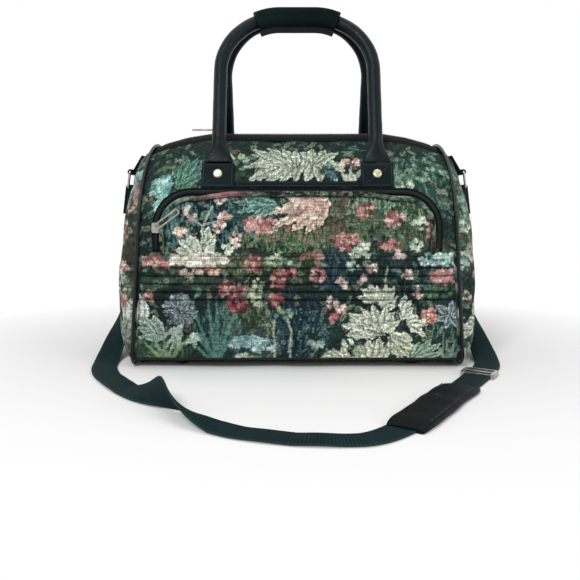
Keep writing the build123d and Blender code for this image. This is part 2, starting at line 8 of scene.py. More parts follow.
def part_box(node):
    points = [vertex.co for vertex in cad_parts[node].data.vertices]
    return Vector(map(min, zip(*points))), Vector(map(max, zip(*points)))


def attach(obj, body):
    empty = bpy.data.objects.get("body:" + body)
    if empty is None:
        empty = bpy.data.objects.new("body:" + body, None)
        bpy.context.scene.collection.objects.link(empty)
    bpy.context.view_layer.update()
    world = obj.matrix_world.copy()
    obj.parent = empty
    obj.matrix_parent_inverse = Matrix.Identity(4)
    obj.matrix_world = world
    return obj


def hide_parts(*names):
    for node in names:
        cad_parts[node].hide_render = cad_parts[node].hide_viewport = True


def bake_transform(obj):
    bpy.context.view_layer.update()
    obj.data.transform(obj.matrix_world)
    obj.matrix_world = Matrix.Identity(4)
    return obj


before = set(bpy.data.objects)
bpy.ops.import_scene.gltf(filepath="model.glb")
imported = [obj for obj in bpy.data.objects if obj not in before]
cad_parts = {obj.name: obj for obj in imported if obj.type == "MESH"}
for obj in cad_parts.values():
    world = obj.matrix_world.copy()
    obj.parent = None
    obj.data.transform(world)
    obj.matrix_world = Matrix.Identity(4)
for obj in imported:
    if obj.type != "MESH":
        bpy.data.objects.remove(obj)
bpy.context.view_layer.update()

# The object's main sizes, in metres, as in the CAD
SET_BACK = 0.006
CROWN_Z = 0.191
CROWN_R = 0.095
BASE_Z = 0.006
BASE_HALF = 0.201
LEAN = math.radians(4.6)
BASE_CORNER = 0.018
# The 580 x 580 view that places are read in: millimetres per pixel, the pixel column at the bag's
# middle, and a pixel row with its height in millimetres
SCALE, MID_PX, LEVEL_PX, LEVEL_Z = 1.15, 297.0, 290.0, 92.3


def lin(text):
    """An sRGB colour of six hex digits as linear red, green and blue."""
    parts = [int(text[i:i + 2], 16) / 255 for i in (0, 2, 4)]
    return [x / 12.92 if x <= 0.04045 else ((x + 0.055) / 1.055) ** 2.4 for x in parts]


# Camera
cam_data = bpy.data.cameras.new("camera")
cam = bpy.data.objects.new("camera", cam_data)
bpy.context.scene.collection.objects.link(cam)
ELEVATION = math.radians(8.0)
AIM = Vector((-0.0088, 0.0, 0.0836))
DISTANCE = 0.90
cam.location = AIM + Vector((0, -math.cos(ELEVATION), math.sin(ELEVATION))) * DISTANCE
cam.rotation_euler = (math.pi / 2 - ELEVATION, 0, 0)
cam_data.sensor_width = 36
cam_data.lens = 42.0
cam_data.clip_start = 0.01
bpy.context.scene.camera = cam


# Node helpers
def material(name):
    mat = bpy.data.materials.new(name)
    mat.use_nodes = True
    tree = mat.node_tree
    return mat, tree, tree.nodes["Principled BSDF"]


def node(tree, kind, **values):
    n = tree.nodes.new(kind)
    for key, value in values.items():
        if key.startswith("in_"):
            n.inputs[key[3:].replace("_", " ")].default_value = value
        else:
            setattr(n, key, value)
    return n


def link(tree, a, b):
    tree.links.new(a, b)


def math_node(tree, op, a, b=None, c=None):
    n = node(tree, "ShaderNodeMath", operation=op)
    for i, value in enumerate((a, b, c)):
        if value is None:
            continue
        if isinstance(value, (int, float)):
            n.inputs[i].default_value = value
        else:
            link(tree, value, n.inputs[i])
    return n.outputs[0]


def mix_color(tree, factor, a, b, blend="MIX"):
    n = node(tree, "ShaderNodeMix", data_type="RGBA", blend_type=blend)
    for socket, value in ((n.inputs[0], factor), (n.inputs[6], a), (n.inputs[7], b)):
        if isinstance(value, (int, float)):
            socket.default_value = value
        elif isinstance(value, list):
            socket.default_value = value + [1.0]
        else:
            link(tree, value, socket)
    return n.outputs[2]


def coords(tree):
    return node(tree, "ShaderNodeTexCoord").outputs["Object"]


def noise(tree, vector, scale, detail, rough=0.6):
    n = node(tree, "ShaderNodeTexNoise", in_Scale=scale, in_Detail=detail, in_Roughness=rough)
    link(tree, vector, n.inputs["Vector"])
    return n.outputs["Fac"]


def ramp(tree, value, stops):
    """Grey levels between stops, each a place and its level."""
    n = tree.nodes.new("ShaderNodeValToRGB")
    link(tree, value, n.inputs[0])
    while len(n.color_ramp.elements) < len(stops):
        n.color_ramp.elements.new(0.5)
    for element, (place, level) in zip(n.color_ramp.elements, stops):
        element.position = place
        element.color = (level, level, level, 1.0)
    return n.outputs[0]


def times(tree, a, b):
    return math_node(tree, "MULTIPLY", a, b)


def plus(tree, a, b):
    return math_node(tree, "ADD", a, b)


def ridges(tree, place, rate):
    """Rounded ridges across a direction, 0 to 1, one for each half turn of a sine."""
    return math_node(tree, "ABSOLUTE", math_node(tree, "SINE", times(tree, place, rate)))


def tint(tree, color, value, *stops):
    """A colour multiplied by a ramp of a value."""
    return mix_color(tree, 1.0, color, ramp(tree, value, stops), "MULTIPLY")


def bump(tree, shader, height, strength, distance, under=None):
    n = node(tree, "ShaderNodeBump", in_Strength=strength, in_Distance=distance)
    link(tree, height, n.inputs["Height"])
    if under is not None:
        link(tree, under, n.inputs["Normal"])
    if shader is not None:
        link(tree, n.outputs[0], shader.inputs["Normal"])
    return n.outputs[0]


def scaled(tree, vector, scale):
    n = node(tree, "ShaderNodeMapping", in_Scale=scale)
    link(tree, vector, n.inputs["Vector"])
    return n.outputs[0]


def stretched_noise(tree, vector, scale, detail, rough=0.6):
    """Noise with its own scale along each axis."""
    return noise(tree, scaled(tree, vector, scale), 1.0, detail, rough)


def wave(tree, vector, scale, direction, distortion=0.0):
    n = node(tree, "ShaderNodeTexWave", in_Scale=scale, in_Distortion=distortion, bands_direction=direction)
    link(tree, vector, n.inputs["Vector"])
    return n.outputs["Fac"]


def thread_places(tree):
    """Places along and across the threads in metres, as one vector and as two numbers."""
    uv = node(tree, "ShaderNodeAttribute", attribute_name="thread").outputs["Vector"]
    place = node(tree, "ShaderNodeSeparateXYZ")
    link(tree, uv, place.inputs[0])
    return uv, place.outputs[0], place.outputs[1]


def surface(tree, shader, color, rough, shine=None):
    """Colour, roughness as a number or between the two ends of a value, and the reflections' strength."""
    link(tree, color, shader.inputs["Base Color"])
    if isinstance(rough, float):
        shader.inputs["Roughness"].default_value = rough
    else:
        value, low, high = rough
        link(tree, ramp(tree, value, [(0.2, low), (0.8, high)]), shader.inputs["Roughness"])
    if shine is not None:
        shader.inputs["Specular IOR Level"].default_value = shine


# Materials
RIBS, FLOATS, ROW_SHIFT = 760.0, 520.0, 0.618   # of the tapestry's weft, the first two for each metre


def tapestry_material():
    """Woven picture cloth: the picture is a colour attribute, the weave and its threads are nodes."""
    mat, tree, shader = material("tapestry_weave")
    picture = node(tree, "ShaderNodeAttribute", attribute_name="picture").outputs["Color"]
    uv, along, up = thread_places(tree)
    # weft ribs run across, each broken into short floats of thread
    row = times(tree, up, RIBS)
    rib = ridges(tree, row, math.pi)
    shift = math_node(tree, "FRACT", times(tree, math_node(tree, "FLOOR", row), ROW_SHIFT))
    stitch = ridges(tree, plus(tree, times(tree, along, FLOATS), shift), math.pi)
    grain = stretched_noise(tree, uv, (900, 900, 1), 2.0)
    streak = stretched_noise(tree, uv, (820, 190, 1), 3.0, 0.7)
    float_line = stretched_noise(tree, uv, (70, 420, 1), 2.0)
    blotch = stretched_noise(tree, uv, (60, 60, 1), 4.0)
    height = plus(tree, times(tree, rib, 0.7), times(tree, stitch, 0.4))
    # painted shade: the picture is darkened in the low grooves between ribs and floats and paled on their
    # tops
    color = tint(tree, picture, times(tree, height, 0.9), (0.0, 0.42), (0.45, 0.95), (1.0, 1.18))
    color = tint(tree, color, grain, (0.25, 0.66), (0.75, 1.30))
    color = tint(tree, color, streak, (0.34, 0.40), (0.46, 0.92), (0.56, 1.06), (0.68, 1.7))
    color = tint(tree, color, float_line, (0.36, 0.62), (0.5, 1.0), (0.66, 1.25))
    color = tint(tree, color, blotch, (0.3, 0.84), (0.7, 1.12))
    surface(tree, shader, color, 0.86, 0.08)
    fuzz = plus(tree, height, times(tree, grain, 0.6))
    bump(tree, shader, fuzz, 0.55, 0.0006)
    return mat


def leather_material(name, base, light, rough=(0.34, 0.5), grain=620.0, wear=0.25, shine=0.24):
    """Leather or plain vinyl: pebbled, clouded, and paler where its edges are worn."""
    mat, tree, shader = material(name)
    base, light = lin(base), lin(light)
    p = coords(tree)
    voronoi = node(tree, "ShaderNodeTexVoronoi", feature="DISTANCE_TO_EDGE", in_Scale=grain)
    link(tree, p, voronoi.inputs["Vector"])
    pebble = ramp(tree, voronoi.outputs["Distance"], [(0.0, 0.0), (0.22, 1.0)])
    cloud = noise(tree, p, 18.0, 5.0)
    fine = noise(tree, p, 240.0, 3.0)
    color = mix_color(tree, ramp(tree, cloud, [(0.3, 0.0), (0.75, 1.0)]), base, light)
    geometry = node(tree, "ShaderNodeNewGeometry")
    edge = ramp(tree, geometry.outputs["Pointiness"], [(0.5, 0.0), (0.56, wear)])
    color = mix_color(tree, edge, color, [min(1.0, c * 2.2 + 0.02) for c in light])
    surface(tree, shader, color, (fine,) + rough, shine)
    under = bump(tree, None, pebble, 0.35, 0.00025)
    bump(tree, shader, cloud, 0.25, 0.0015, under)
    return mat


def metal_material(name, base, dark, rough=(0.22, 0.42)):
    mat, tree, shader = material(name)
    p = coords(tree)
    cloud = noise(tree, p, 160.0, 4.0)
    scratch = stretched_noise(tree, p, (1400, 200, 900), 3.0)
    color = mix_color(tree, ramp(tree, cloud, [(0.35, 0.0), (0.7, 1.0)]), lin(base), lin(dark))
    shader.inputs["Metallic"].default_value = 1.0
    surface(tree, shader, color, (scratch,) + rough)
    bump(tree, shader, scratch, 0.15, 0.0001)
    return mat


def webbing_material(name, base, light, selvedge):
    """Narrow webbing with 330 crosswise ribs and 560 lengthwise ones a metre, and a paler selvedge."""
    mat, tree, shader = material(name)
    uv, x, y = thread_places(tree)
    rib, ribs = ridges(tree, x, 330.0 * math.pi), ridges(tree, y, 560.0 * math.pi)
    height = plus(tree, times(tree, rib, 0.75), times(tree, ribs, 0.25))
    grain = stretched_noise(tree, uv, (1500, 1500, 1), 2.0)
    cloud = stretched_noise(tree, uv, (45, 45, 1), 3.0, 0.5)
    # painted shade: the low grooves between the ribs take the dark colour and the ribs' tops the light one
    color = mix_color(tree, ramp(tree, height, [(0.15, 0.0), (0.85, 1.0)]), lin(base), lin(light))
    color = tint(tree, color, grain, (0.25, 0.75), (0.75, 1.3))
    color = tint(tree, color, cloud, (0.3, 0.8), (0.7, 1.2))
    rim = ramp(tree, math_node(tree, "ABSOLUTE", y), [(0.0140, 0.0), (0.0150, 0.55)])
    color = mix_color(tree, rim, color, lin(selvedge))
    surface(tree, shader, color, 0.8, 0.1)
    bump(tree, shader, plus(tree, height, times(tree, grain, 0.4)), 0.6, 0.0005)
    return mat


def plain_weave(name, base, light, scale=900.0 / 6.3):
    """Fine cloth by position, for CAD nodes kept as they are."""
    mat, tree, shader = material(name)
    p = coords(tree)
    height = math_node(tree, "MAXIMUM", wave(tree, p, scale, "X"), wave(tree, p, scale, "Z"))
    grain = noise(tree, p, 1200.0, 2.0)
    # painted shade: the low threads between the raised ones take the dark colour
    color = mix_color(tree, height, lin(base), lin(light))
    color = tint(tree, color, grain, (0.25, 0.75), (0.75, 1.25))
    surface(tree, shader, color, 0.8, 0.08)
    bump(tree, shader, height, 0.4, 0.0003)
    return mat


def thread_material(name, base):
    mat, tree, shader = material(name)
    base = lin(base)
    twist = wave(tree, coords(tree), 260.0, "DIAGONAL", 2.0)
    # painted shade: the grooves of the twist are painted darker
    surface(tree, shader, mix_color(tree, twist, [c * 0.6 for c in base], base), 0.65)
    bump(tree, shader, twist, 0.4, 0.0002)
    return mat


TAPESTRY = tapestry_material()
LEATHER = leather_material("handle_leather", "040b0d", "08171b", (0.24, 0.34), wear=0.04, shine=0.14)
WRAP = leather_material("wrap_leather", "0b1413", "14201e", (0.5, 0.62), 480.0, wear=0.04, shine=0.008)
TRIM = leather_material("trim_leather", "081215", "0f1c20", (0.42, 0.54), wear=0.05, shine=0.045)
VINYL = leather_material("pad_vinyl", "060b0c", "0d1415", (0.45, 0.6), 900.0, wear=0.05, shine=0.08)
BAND = leather_material("band_leather", "080e0d", "101816", (0.5, 0.65), wear=0.05, shine=0.02)
PIPING = leather_material("piping_vinyl", "050a09", "0a1210", (0.15, 0.22), 1200.0, wear=0.08, shine=0.30)
FOOT = leather_material("foot_plastic", "0e1213", "181d1e", (0.28, 0.4), 1500.0, wear=0.1, shine=0.3)
PEWTER = metal_material("pewter", "b9b6ae", "8b8880")
RIVET = metal_material("rivet_metal", "d8cdb4", "b3a68a", (0.2, 0.36))
TEETH = leather_material("coil_teeth", "101314", "1c2122", (0.35, 0.5), 1500.0, wear=0.1)
WEBBING = webbing_material("webbing", "071012", "14292c", "2c403f")
TAPE = plain_weave("zip_tape", "080b0c", "131819")
BOARD = leather_material("board_plastic", "5b574e", "6a665c", (0.5, 0.6), 300.0)
THREAD = thread_material("dark_thread", "1d2b2c")
PALE_THREAD = thread_material("stitch_thread", "39484a")
SCUFF = thread_material("pale_scuff", "5d6a68")


def paint_node(name, mat):
    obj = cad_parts[name]
    obj.data.materials.clear()
    obj.data.materials.append(mat)
    for poly in obj.data.polygons:
        poly.use_smooth = True


# Mesh helpers
def mesh_object(name, verts, faces, mat, body="bag"):
    mesh = bpy.data.meshes.new(name)
    mesh.from_pydata([tuple(v) for v in verts], [], [tuple(int(i) for i in f) for f in faces])
    mesh.update()
    mesh.materials.append(mat)
    mesh.polygons.foreach_set("use_smooth", [True] * len(mesh.polygons))
    obj = bpy.data.objects.new(name, mesh)
    bpy.context.scene.collection.objects.link(obj)
    if body is not None:
        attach(obj, body)
    return obj


def grid_faces(rows, cols, close_cols=False, flip=False):
    r, c = np.meshgrid(np.arange(rows - 1), np.arange(cols if close_cols else cols - 1), indexing="ij")
    n = (c + 1) % cols
    quad = np.stack([r * cols + c, r * cols + n, (r + 1) * cols + n, (r + 1) * cols + c], -1).reshape(-1, 4)
    return quad[:, ::-1] if flip else quad


def tube_caps(rings, sides):
    """The two flat ends of a tube of so many rings."""
    return [list(range(sides)), list(range((rings - 1) * sides, rings * sides))[::-1]]


def set_attribute(obj, name, values):
    """The picture's colours or the threads' places, one for each vertex."""
    mesh = obj.data
    if name == "picture":
        layer = mesh.color_attributes.new(name=name, type="FLOAT_COLOR", domain="POINT")
        kind, data = "color", np.ones((len(mesh.vertices), 4), dtype=np.float32)
    else:
        layer = mesh.attributes.new(name=name, type="FLOAT_VECTOR", domain="POINT")
        kind, data = "vector", np.zeros((len(mesh.vertices), 3), dtype=np.float32)
    data[:, :values.shape[1]] = values
    layer.data.foreach_set(kind, data.ravel())


def cloth_piece(name, node_name, verts, faces, picture, thread):
    """A piece of tapestry with its picture and its threads' places, standing for a CAD node."""
    obj = mesh_object(name, verts, faces, TAPESTRY)
    set_attribute(obj, "picture", picture)
    set_attribute(obj, "thread", thread)
    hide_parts(node_name)


def run_along(points):
    """Length from a line's first point to each of its points."""
    return np.concatenate([[0], np.cumsum(np.linalg.norm(np.diff(points, axis=0), axis=1))])


def ways(points):
    """The way a line goes at each of its points, one unit long."""
    tangent = np.gradient(points, axis=0)
    return tangent / np.linalg.norm(tangent, axis=1)[:, None]


def places_at(where, run, points):
    """Places on a line at the given lengths along it."""
    return np.stack([np.interp(where, run, points[:, k]) for k in range(points.shape[1])], -1)


def turned(verts, face):
    """Points made for the front, face -1, or turned to the back, face 1, and set back."""
    verts[:, 1] = verts[:, 1] * -face + SET_BACK
    return verts


def value_noise(x, y, seed):
    """Smooth lattice noise in -1..1 for numpy arrays."""
    xi, yi = np.floor(x).astype(np.int64), np.floor(y).astype(np.int64)
    xf, yf = x - xi, y - yi
    u, v = xf * xf * (3 - 2 * xf), yf * yf * (3 - 2 * yf)

    def rand(a, b):
        h = (a * 374761393 + b * 668265263 + seed * 1442695041) & 0xFFFFFFFF
        h = ((h ^ (h >> 13)) * 1274126177) & 0xFFFFFFFF
        return ((h ^ (h >> 16)) & 0xFFFF) / 32767.5 - 1.0

    a, b = rand(xi, yi), rand(xi + 1, yi)
    c, d = rand(xi, yi + 1), rand(xi + 1, yi + 1)
    return (a * (1 - u) + b * u) * (1 - v) + (c * (1 - u) + d * u) * v


def layered(x, y, octaves, seed):
    """Value noise with finer and weaker layers on top."""
    total, size = 0.0, 1.0
    for i in range(octaves):
        total = total + value_noise(x * 2 ** i, y * 2 ** i, seed + 17 * i) * size
        size *= 0.5
    return total


# The woven picture
# Places are in the cloth's own millimetres: u to the right along the bag, v up the front and over the
# top. at() turns a place seen on the front into them.
def at(px, py):
    """Place on the front seen at a spot of a 580 x 580 view, in millimetres of cloth."""
    u, z = (px - MID_PX) * SCALE, LEVEL_Z + (LEVEL_PX - py) * SCALE
    crown, radius = CROWN_Z * 1000, CROWN_R * 1000
    if z <= crown:
        return (u, z)
    rise = min((z - crown) / radius, 0.999)
    depth = radius * (1 - math.sqrt(1 - rise * rise))
    return (u * (1 + depth / 1000), crown + radius * math.asin(rise))


def soft(distance):
    """1 inside an edge and 0 outside it, from the distance past it in millimetres."""
    return np.clip(0.5 - distance / 0.7, 0.0, 1.0)


class Picture:
    """Colours of the woven verdure at cloth places, in millimetres."""

    def __init__(self, u, v, seed):
        self.rng = np.random.default_rng(seed)
        self.color = np.zeros((len(u), 3))
        # every thread crossing is a little out of place, which makes the ragged edges of weaving
        self.u = u + self.rng.uniform(-0.75, 0.75, len(u))
        self.v = v + self.rng.uniform(-0.95, 0.95, len(u))
        tone = layered(u / 1.9, v / 4.5, 2, seed + 3) * 0.8 + self.rng.normal(0, 0.35, len(u))
        self.tone = np.clip(tone, -1.4, 1.4)
        self.cloud = layered(u / 9, v / 7, 2, seed + 8)

    def near(self, centre, reach):
        return np.flatnonzero((np.abs(self.u - centre[0]) < reach) & (np.abs(self.v - centre[1]) < reach))

    def lay(self, index, mask, color, tone=0.22):
        shade = np.clip(1.0 + tone * self.tone[index], 0.25, 2.0)[:, None] * np.array(lin(color))
        m = mask[:, None]
        self.color[index] = self.color[index] * (1 - m) + shade * m

    def everywhere(self, mask, color, tone=0.22):
        self.lay(np.arange(len(self.u)), mask, color, tone)

    def field(self, centre, color, size, seed):
        """A cloudy field round a centre."""
        du, dv = (self.u - centre[0]) / size[0], (self.v - centre[1]) / size[1]
        d = np.sqrt(du * du + dv * dv) + 0.3 * layered(self.u / 9, self.v / 9, 3, seed)
        self.everywhere(np.clip((1.0 - d) * 2.6, 0, 1), color, 0.3)

    def ticks(self, centre, color, size, share, seed):
        """Short upright dashes of thread scattered over an oval."""
        index = self.near(centre, max(size) * 1.2)
        u, v = self.u[index], self.v[index]
        d = np.hypot((u - centre[0]) / size[0], (v - centre[1]) / size[1])
        row = np.floor(u / 1.5)
        n = value_noise(row * 7.13, v / 6.5 + row * 3.7, seed)
        self.lay(index, ((n > 1 - 2 * share) & (d + 0.15 * self.cloud[index] < 1)) * 0.9, color, 0.25)

    def finger(self, base, tip, width, color, light, vein, ragged, belly=0.45):
        """Ragged leaf or petal from its base to its tip."""
        dx, dy = tip[0] - base[0], tip[1] - base[1]
        length = math.hypot(dx, dy) + 1e-6
        mid = ((base[0] + tip[0]) / 2, (base[1] + tip[1]) / 2)
        index = self.near(mid, length / 2 + width)
        u, v = self.u[index] - base[0], self.v[index] - base[1]
        t = (u * dx + v * dy) / (length * length)
        b = (-u * dy + v * dx) / length
        notch = layered(t * length / 4.2 + base[0], np.sign(b) * 7.7 + base[1], 2,
                        int(abs(base[0] * 3 + tip[1])))
        tt = np.clip(t, 0, 1)
        span = np.sin(math.pi * tt ** (math.log(0.5) / math.log(belly)))
        half = width / 2 * np.clip(span, 0, 1) ** 0.7 + ragged * notch * np.clip(span * 2, 0, 1)
        inside = (t > -0.03) & (t < 1.03)
        d = np.where(inside, np.abs(b) - half, 9.0)
        mask = soft(d)
        if vein:
            self.lay(index, soft(d - 2.0) * 0.55, "14201c")
        self.lay(index, mask, color)
        streak = layered(t * length / 7, b / 1.1, 2, int(abs(base[1] * 5)))
        self.lay(index, mask * ((d > -1.5) | (streak > 0.55)) * 0.85, light)
        if vein:
            self.lay(index, mask * (np.abs(b) < 0.7 + 0.4 * (1 - tt)) * (d < -0.8) * 0.7, vein)
            rib = ((t * length - np.abs(b) * 1.2) % 5.2) < 0.9
            self.lay(index, mask * rib * (d < -1.2) * 0.32, vein)

    def spray(self, base, tips, width, color, light, vein, ragged=1.6):
        for tip in tips:
            self.finger(base, at(*tip), width, color, light, vein, ragged)

    def mass(self, centre, size, colors, count, dot=2.6, gap="203029"):
        """Cluster of small blossoms or leaves: dots of several colours on a shaded ground."""
        index = self.near(centre, max(size) + 4)
        d = np.hypot((self.u[index] - centre[0]) / size[0], (self.v[index] - centre[1]) / size[1])
        self.lay(index, (d + 0.25 * self.cloud[index] < 0.9) * 0.55, gap)
        for i in range(count):
            a, r = self.rng.uniform(0, 2 * math.pi), math.sqrt(self.rng.random())
            x, y = centre[0] + size[0] * r * math.cos(a), centre[1] + size[1] * r * math.sin(a)
            radius = dot * self.rng.uniform(0.6, 1.3)
            near = self.near((x, y), radius + 2)
            du, dv = self.u[near] - x, self.v[near] - y
            ring = np.hypot(du, dv * self.rng.uniform(0.8, 1.3))
            lobes = 1 + 0.22 * np.cos(5 * np.arctan2(dv, du) + a * 3)
            color = colors[i % len(colors)]
            self.lay(near, soft(ring - radius * lobes), color)
            if i % 3 == 0:
                self.lay(near, soft(ring - radius * 0.35) * 0.7, colors[(i + 1) % len(colors)])

    def bloom(self, centre, radius, color, light, dark, petals):
        """Open flower of ragged petals with dark gaps between them."""
        index = self.near(centre, radius * 1.4)
        du, dv = self.u[index] - centre[0], (self.v[index] - centre[1]) / 0.85
        r, th = np.hypot(du, dv), np.arctan2(dv, du)
        edge = radius * (0.80 + 0.20 * np.cos(petals * th)) * (1 + 0.10 * self.cloud[index])
        mask = soft(r - edge)
        self.lay(index, mask, color)
        self.lay(index, mask * (np.cos(petals * th) > 0.55) * (r > radius * 0.35) * 0.8, light)
        self.lay(index, mask * (np.cos(petals * th) < -0.72) * (r > radius * 0.3) * 0.8, dark)
        self.lay(index, mask * (r < radius * 0.26) * 0.9, dark)
        self.lay(index, mask * (r < radius * 0.13) * 0.9, light)

    def stem(self, points, width, color):
        for (x0, y0), (x1, y1) in zip(points, points[1:]):
            mid, reach = ((x0 + x1) / 2, (y0 + y1) / 2), math.hypot(x1 - x0, y1 - y0) / 2 + 3
            index = self.near(mid, reach)
            dx, dy = x1 - x0, y1 - y0
            u, v = self.u[index], self.v[index]
            t = np.clip(((u - x0) * dx + (v - y0) * dy) / (dx * dx + dy * dy + 1e-9), 0, 1)
            d = np.hypot(u - x0 - t * dx, v - y0 - t * dy)
            self.lay(index, soft(d - width / 2) * 0.95, color)

    def blades(self, root, tips, width, color, light):
        for i, tip in enumerate(tips):
            self.finger(root, at(*tip), width, color if i % 2 else light, light, None, 0.5, 0.35)


def verdure(u, v, seed, mirror=False, extra=()):
    """The whole picture: dark ground, foliage, pale ragged leaves and blossoms."""
    if mirror:
        u = -u
    pic = Picture(u, v, seed)
    pic.everywhere(np.ones(len(u)), "2a3f37", 0.35)
    for px, py, w, h, color in FIELDS:
        pic.field(at(px, py), color, (w * SCALE, h * SCALE), int(px * 7 + py))
    for i in range(LEAVES):
        x, y = pic.rng.uniform(-225, 225), pic.rng.uniform(-10, 345)
        if not pic.near((x, y), 6).size:
            continue
        a = pic.rng.uniform(0, 2 * math.pi)
        reach = pic.rng.uniform(6, 15)
        tip = (x + math.cos(a) * reach, y + math.sin(a) * reach)
        color, light = FOLIAGE[i % len(FOLIAGE)]
        pic.finger((x, y), tip, pic.rng.uniform(3, 6.5), color, light, None, 1.3)
    for px, py, w, h, color, share in TICKS:
        pic.ticks(at(px, py), color, (w * SCALE, h * SCALE), share, int(px + py))
    for kind, place, args in MOTIFS:
        if kind == "stem":
            pic.stem([at(*q) for q in place], **args)
        else:
            getattr(pic, kind)(at(*place), **args)
    for _, place, args in extra:
        pic.mass(place, **args)
    # the cloth is darker low on the left and paler low on the right, and its colours have faded
    shade = 1.0 - 0.24 * np.exp(-((u + 125) / 70) ** 2 - ((v - 45) / 40) ** 2)
    shade += 0.16 * np.exp(-((u - 105) / 60) ** 2 - ((v - 45) / 45) ** 2)
    grey = pic.color @ np.array([0.2126, 0.7152, 0.0722])
    faded = grey[:, None] * np.array([1.02, 1.0, 0.96])
    color = pic.color * 0.64 + faded * 0.36
    return np.clip(1.16 * np.array([0.985, 1.015, 1.05]) * shade[:, None] * color ** 1.19, 0, 0.95)


LEAVES = 1100
FOLIAGE = [("2f5247", "5b8570"), ("1e3535", "3f6e68"), ("41604a", "7d9a74"), ("24403f", "4c8380"),
           ("4a5a45", "8b9a76"), ("1a2b2a", "355349"), ("365a4e", "6f9c88"), ("554e42", "82795f")]
FIELDS = [
    (160, 178, 22, 34, "234847"), (190, 165, 34, 20, "2f5a4d"), (222, 160, 24, 24, "3a5040"),
    (280, 160, 60, 20, "26352c"), (345, 165, 26, 20, "2a3a38"), (420, 165, 44, 30, "2c5446"),
    (205, 215, 56, 34, "17333a"), (255, 205, 34, 18, "2c5c58"), (290, 232, 50, 14, "3c5b3f"),
    (340, 215, 40, 34, "4d553b"), (395, 205, 50, 26, "3e5d43"), (425, 232, 34, 20, "4f5240"),
    (190, 256, 52, 12, "5c5a4c"), (245, 258, 34, 12, "4f5a41"), (300, 262, 40, 18, "34492f"),
    (335, 268, 26, 26, "1f3d44"), (400, 268, 40, 22, "274042"), (450, 275, 26, 24, "2f5248"),
    (175, 278, 60, 10, "3c5544"), (170, 308, 36, 32, "28383c"), (150, 345, 40, 24, "2f5743"),
    (215, 330, 34, 36, "1f4a45"), (250, 318, 30, 26, "35503e"), (300, 325, 40, 40, "1a3842"),
    (250, 345, 36, 16, "2f5a60"), (340, 335, 40, 34, "22403a"), (400, 310, 50, 40, "1f3835"),
    (450, 320, 34, 44, "2b4a45"), (415, 355, 50, 16, "2d4a38"), (300, 120, 200, 18, "2b4137"),
]
TICKS = [
    (205, 215, 50, 30, "3f7f80", 0.3), (178, 210, 18, 26, "5f9ea0", 0.3),
    (290, 235, 52, 12, "6c8a52", 0.45), (290, 232, 50, 14, "a9756a", 0.22),
    (345, 215, 34, 30, "7d6a54", 0.35), (395, 200, 46, 16, "8fae84", 0.34),
    (390, 225, 40, 22, "4f7a4c", 0.4), (300, 325, 38, 40, "355a66", 0.36),
    (300, 335, 36, 30, "6f9a9a", 0.14), (215, 330, 30, 30, "3f8078", 0.25),
    (335, 265, 24, 24, "3a5e70", 0.34), (430, 170, 40, 30, "4f8a70", 0.32),
    (190, 165, 30, 16, "7fb09a", 0.26), (250, 320, 26, 22, "7d8a5f", 0.28),
    (450, 335, 26, 30, "6f9a88", 0.26), (150, 345, 36, 22, "4f7450", 0.26),
    (400, 290, 50, 36, "3f6a64", 0.22), (240, 262, 30, 10, "8f9266", 0.34),
]
# colours of a leaf, its light and its vein, or of the dots of a mass
SAGE_LEAF = "a2b296 cbd5ba 55664f"
CREAM_LEAF = "b9c2a6 dde1ca 6a765a"
STRAW_LEAF = "bcc4a2 dde1c6 66704e"
PEACH = "d2b8a0 e2cfb4 bf9182 cda58f"
ROSE = "ab6464 c48c85 934c52 cfa596"
CORAL = "c37f77 d4a094 ab6560 dab9a6"
PALE_PINK = "d4b7aa e2cfbf b98880"
SAGE_MASS = "a2b296 bac6a8 93a588"
CREAM_MASS = "b9c2a6 c8cfb4 aab597"
OLIVE_MASS = "b4bd98 c6cdae a0ab86"
MINT = "a9c2a4 cfd9bd 6f9a7a"


def mass(px, py, width, height, count, colors, **look):
    """Cluster of blossoms or leaves round a spot of the view."""
    return "mass", (px, py), dict(size=(width, height), colors=colors.split(), count=count, **look)


def spray(px, py, width, colors, *tips, **look):
    """Ragged leaves from one root, with a light and, where a third colour is given, a vein."""
    color, light, vein = (colors.split() + [None])[:3]
    return "spray", (px, py), dict(tips=tips, width=width, color=color, light=light, vein=vein, **look)


def blades(px, py, width, colors, *tips):
    color, light = colors.split()
    return "blades", (px, py), dict(tips=tips, width=width, color=color, light=light)


def stem(width, color, *points):
    return "stem", points, dict(width=width, color=color)


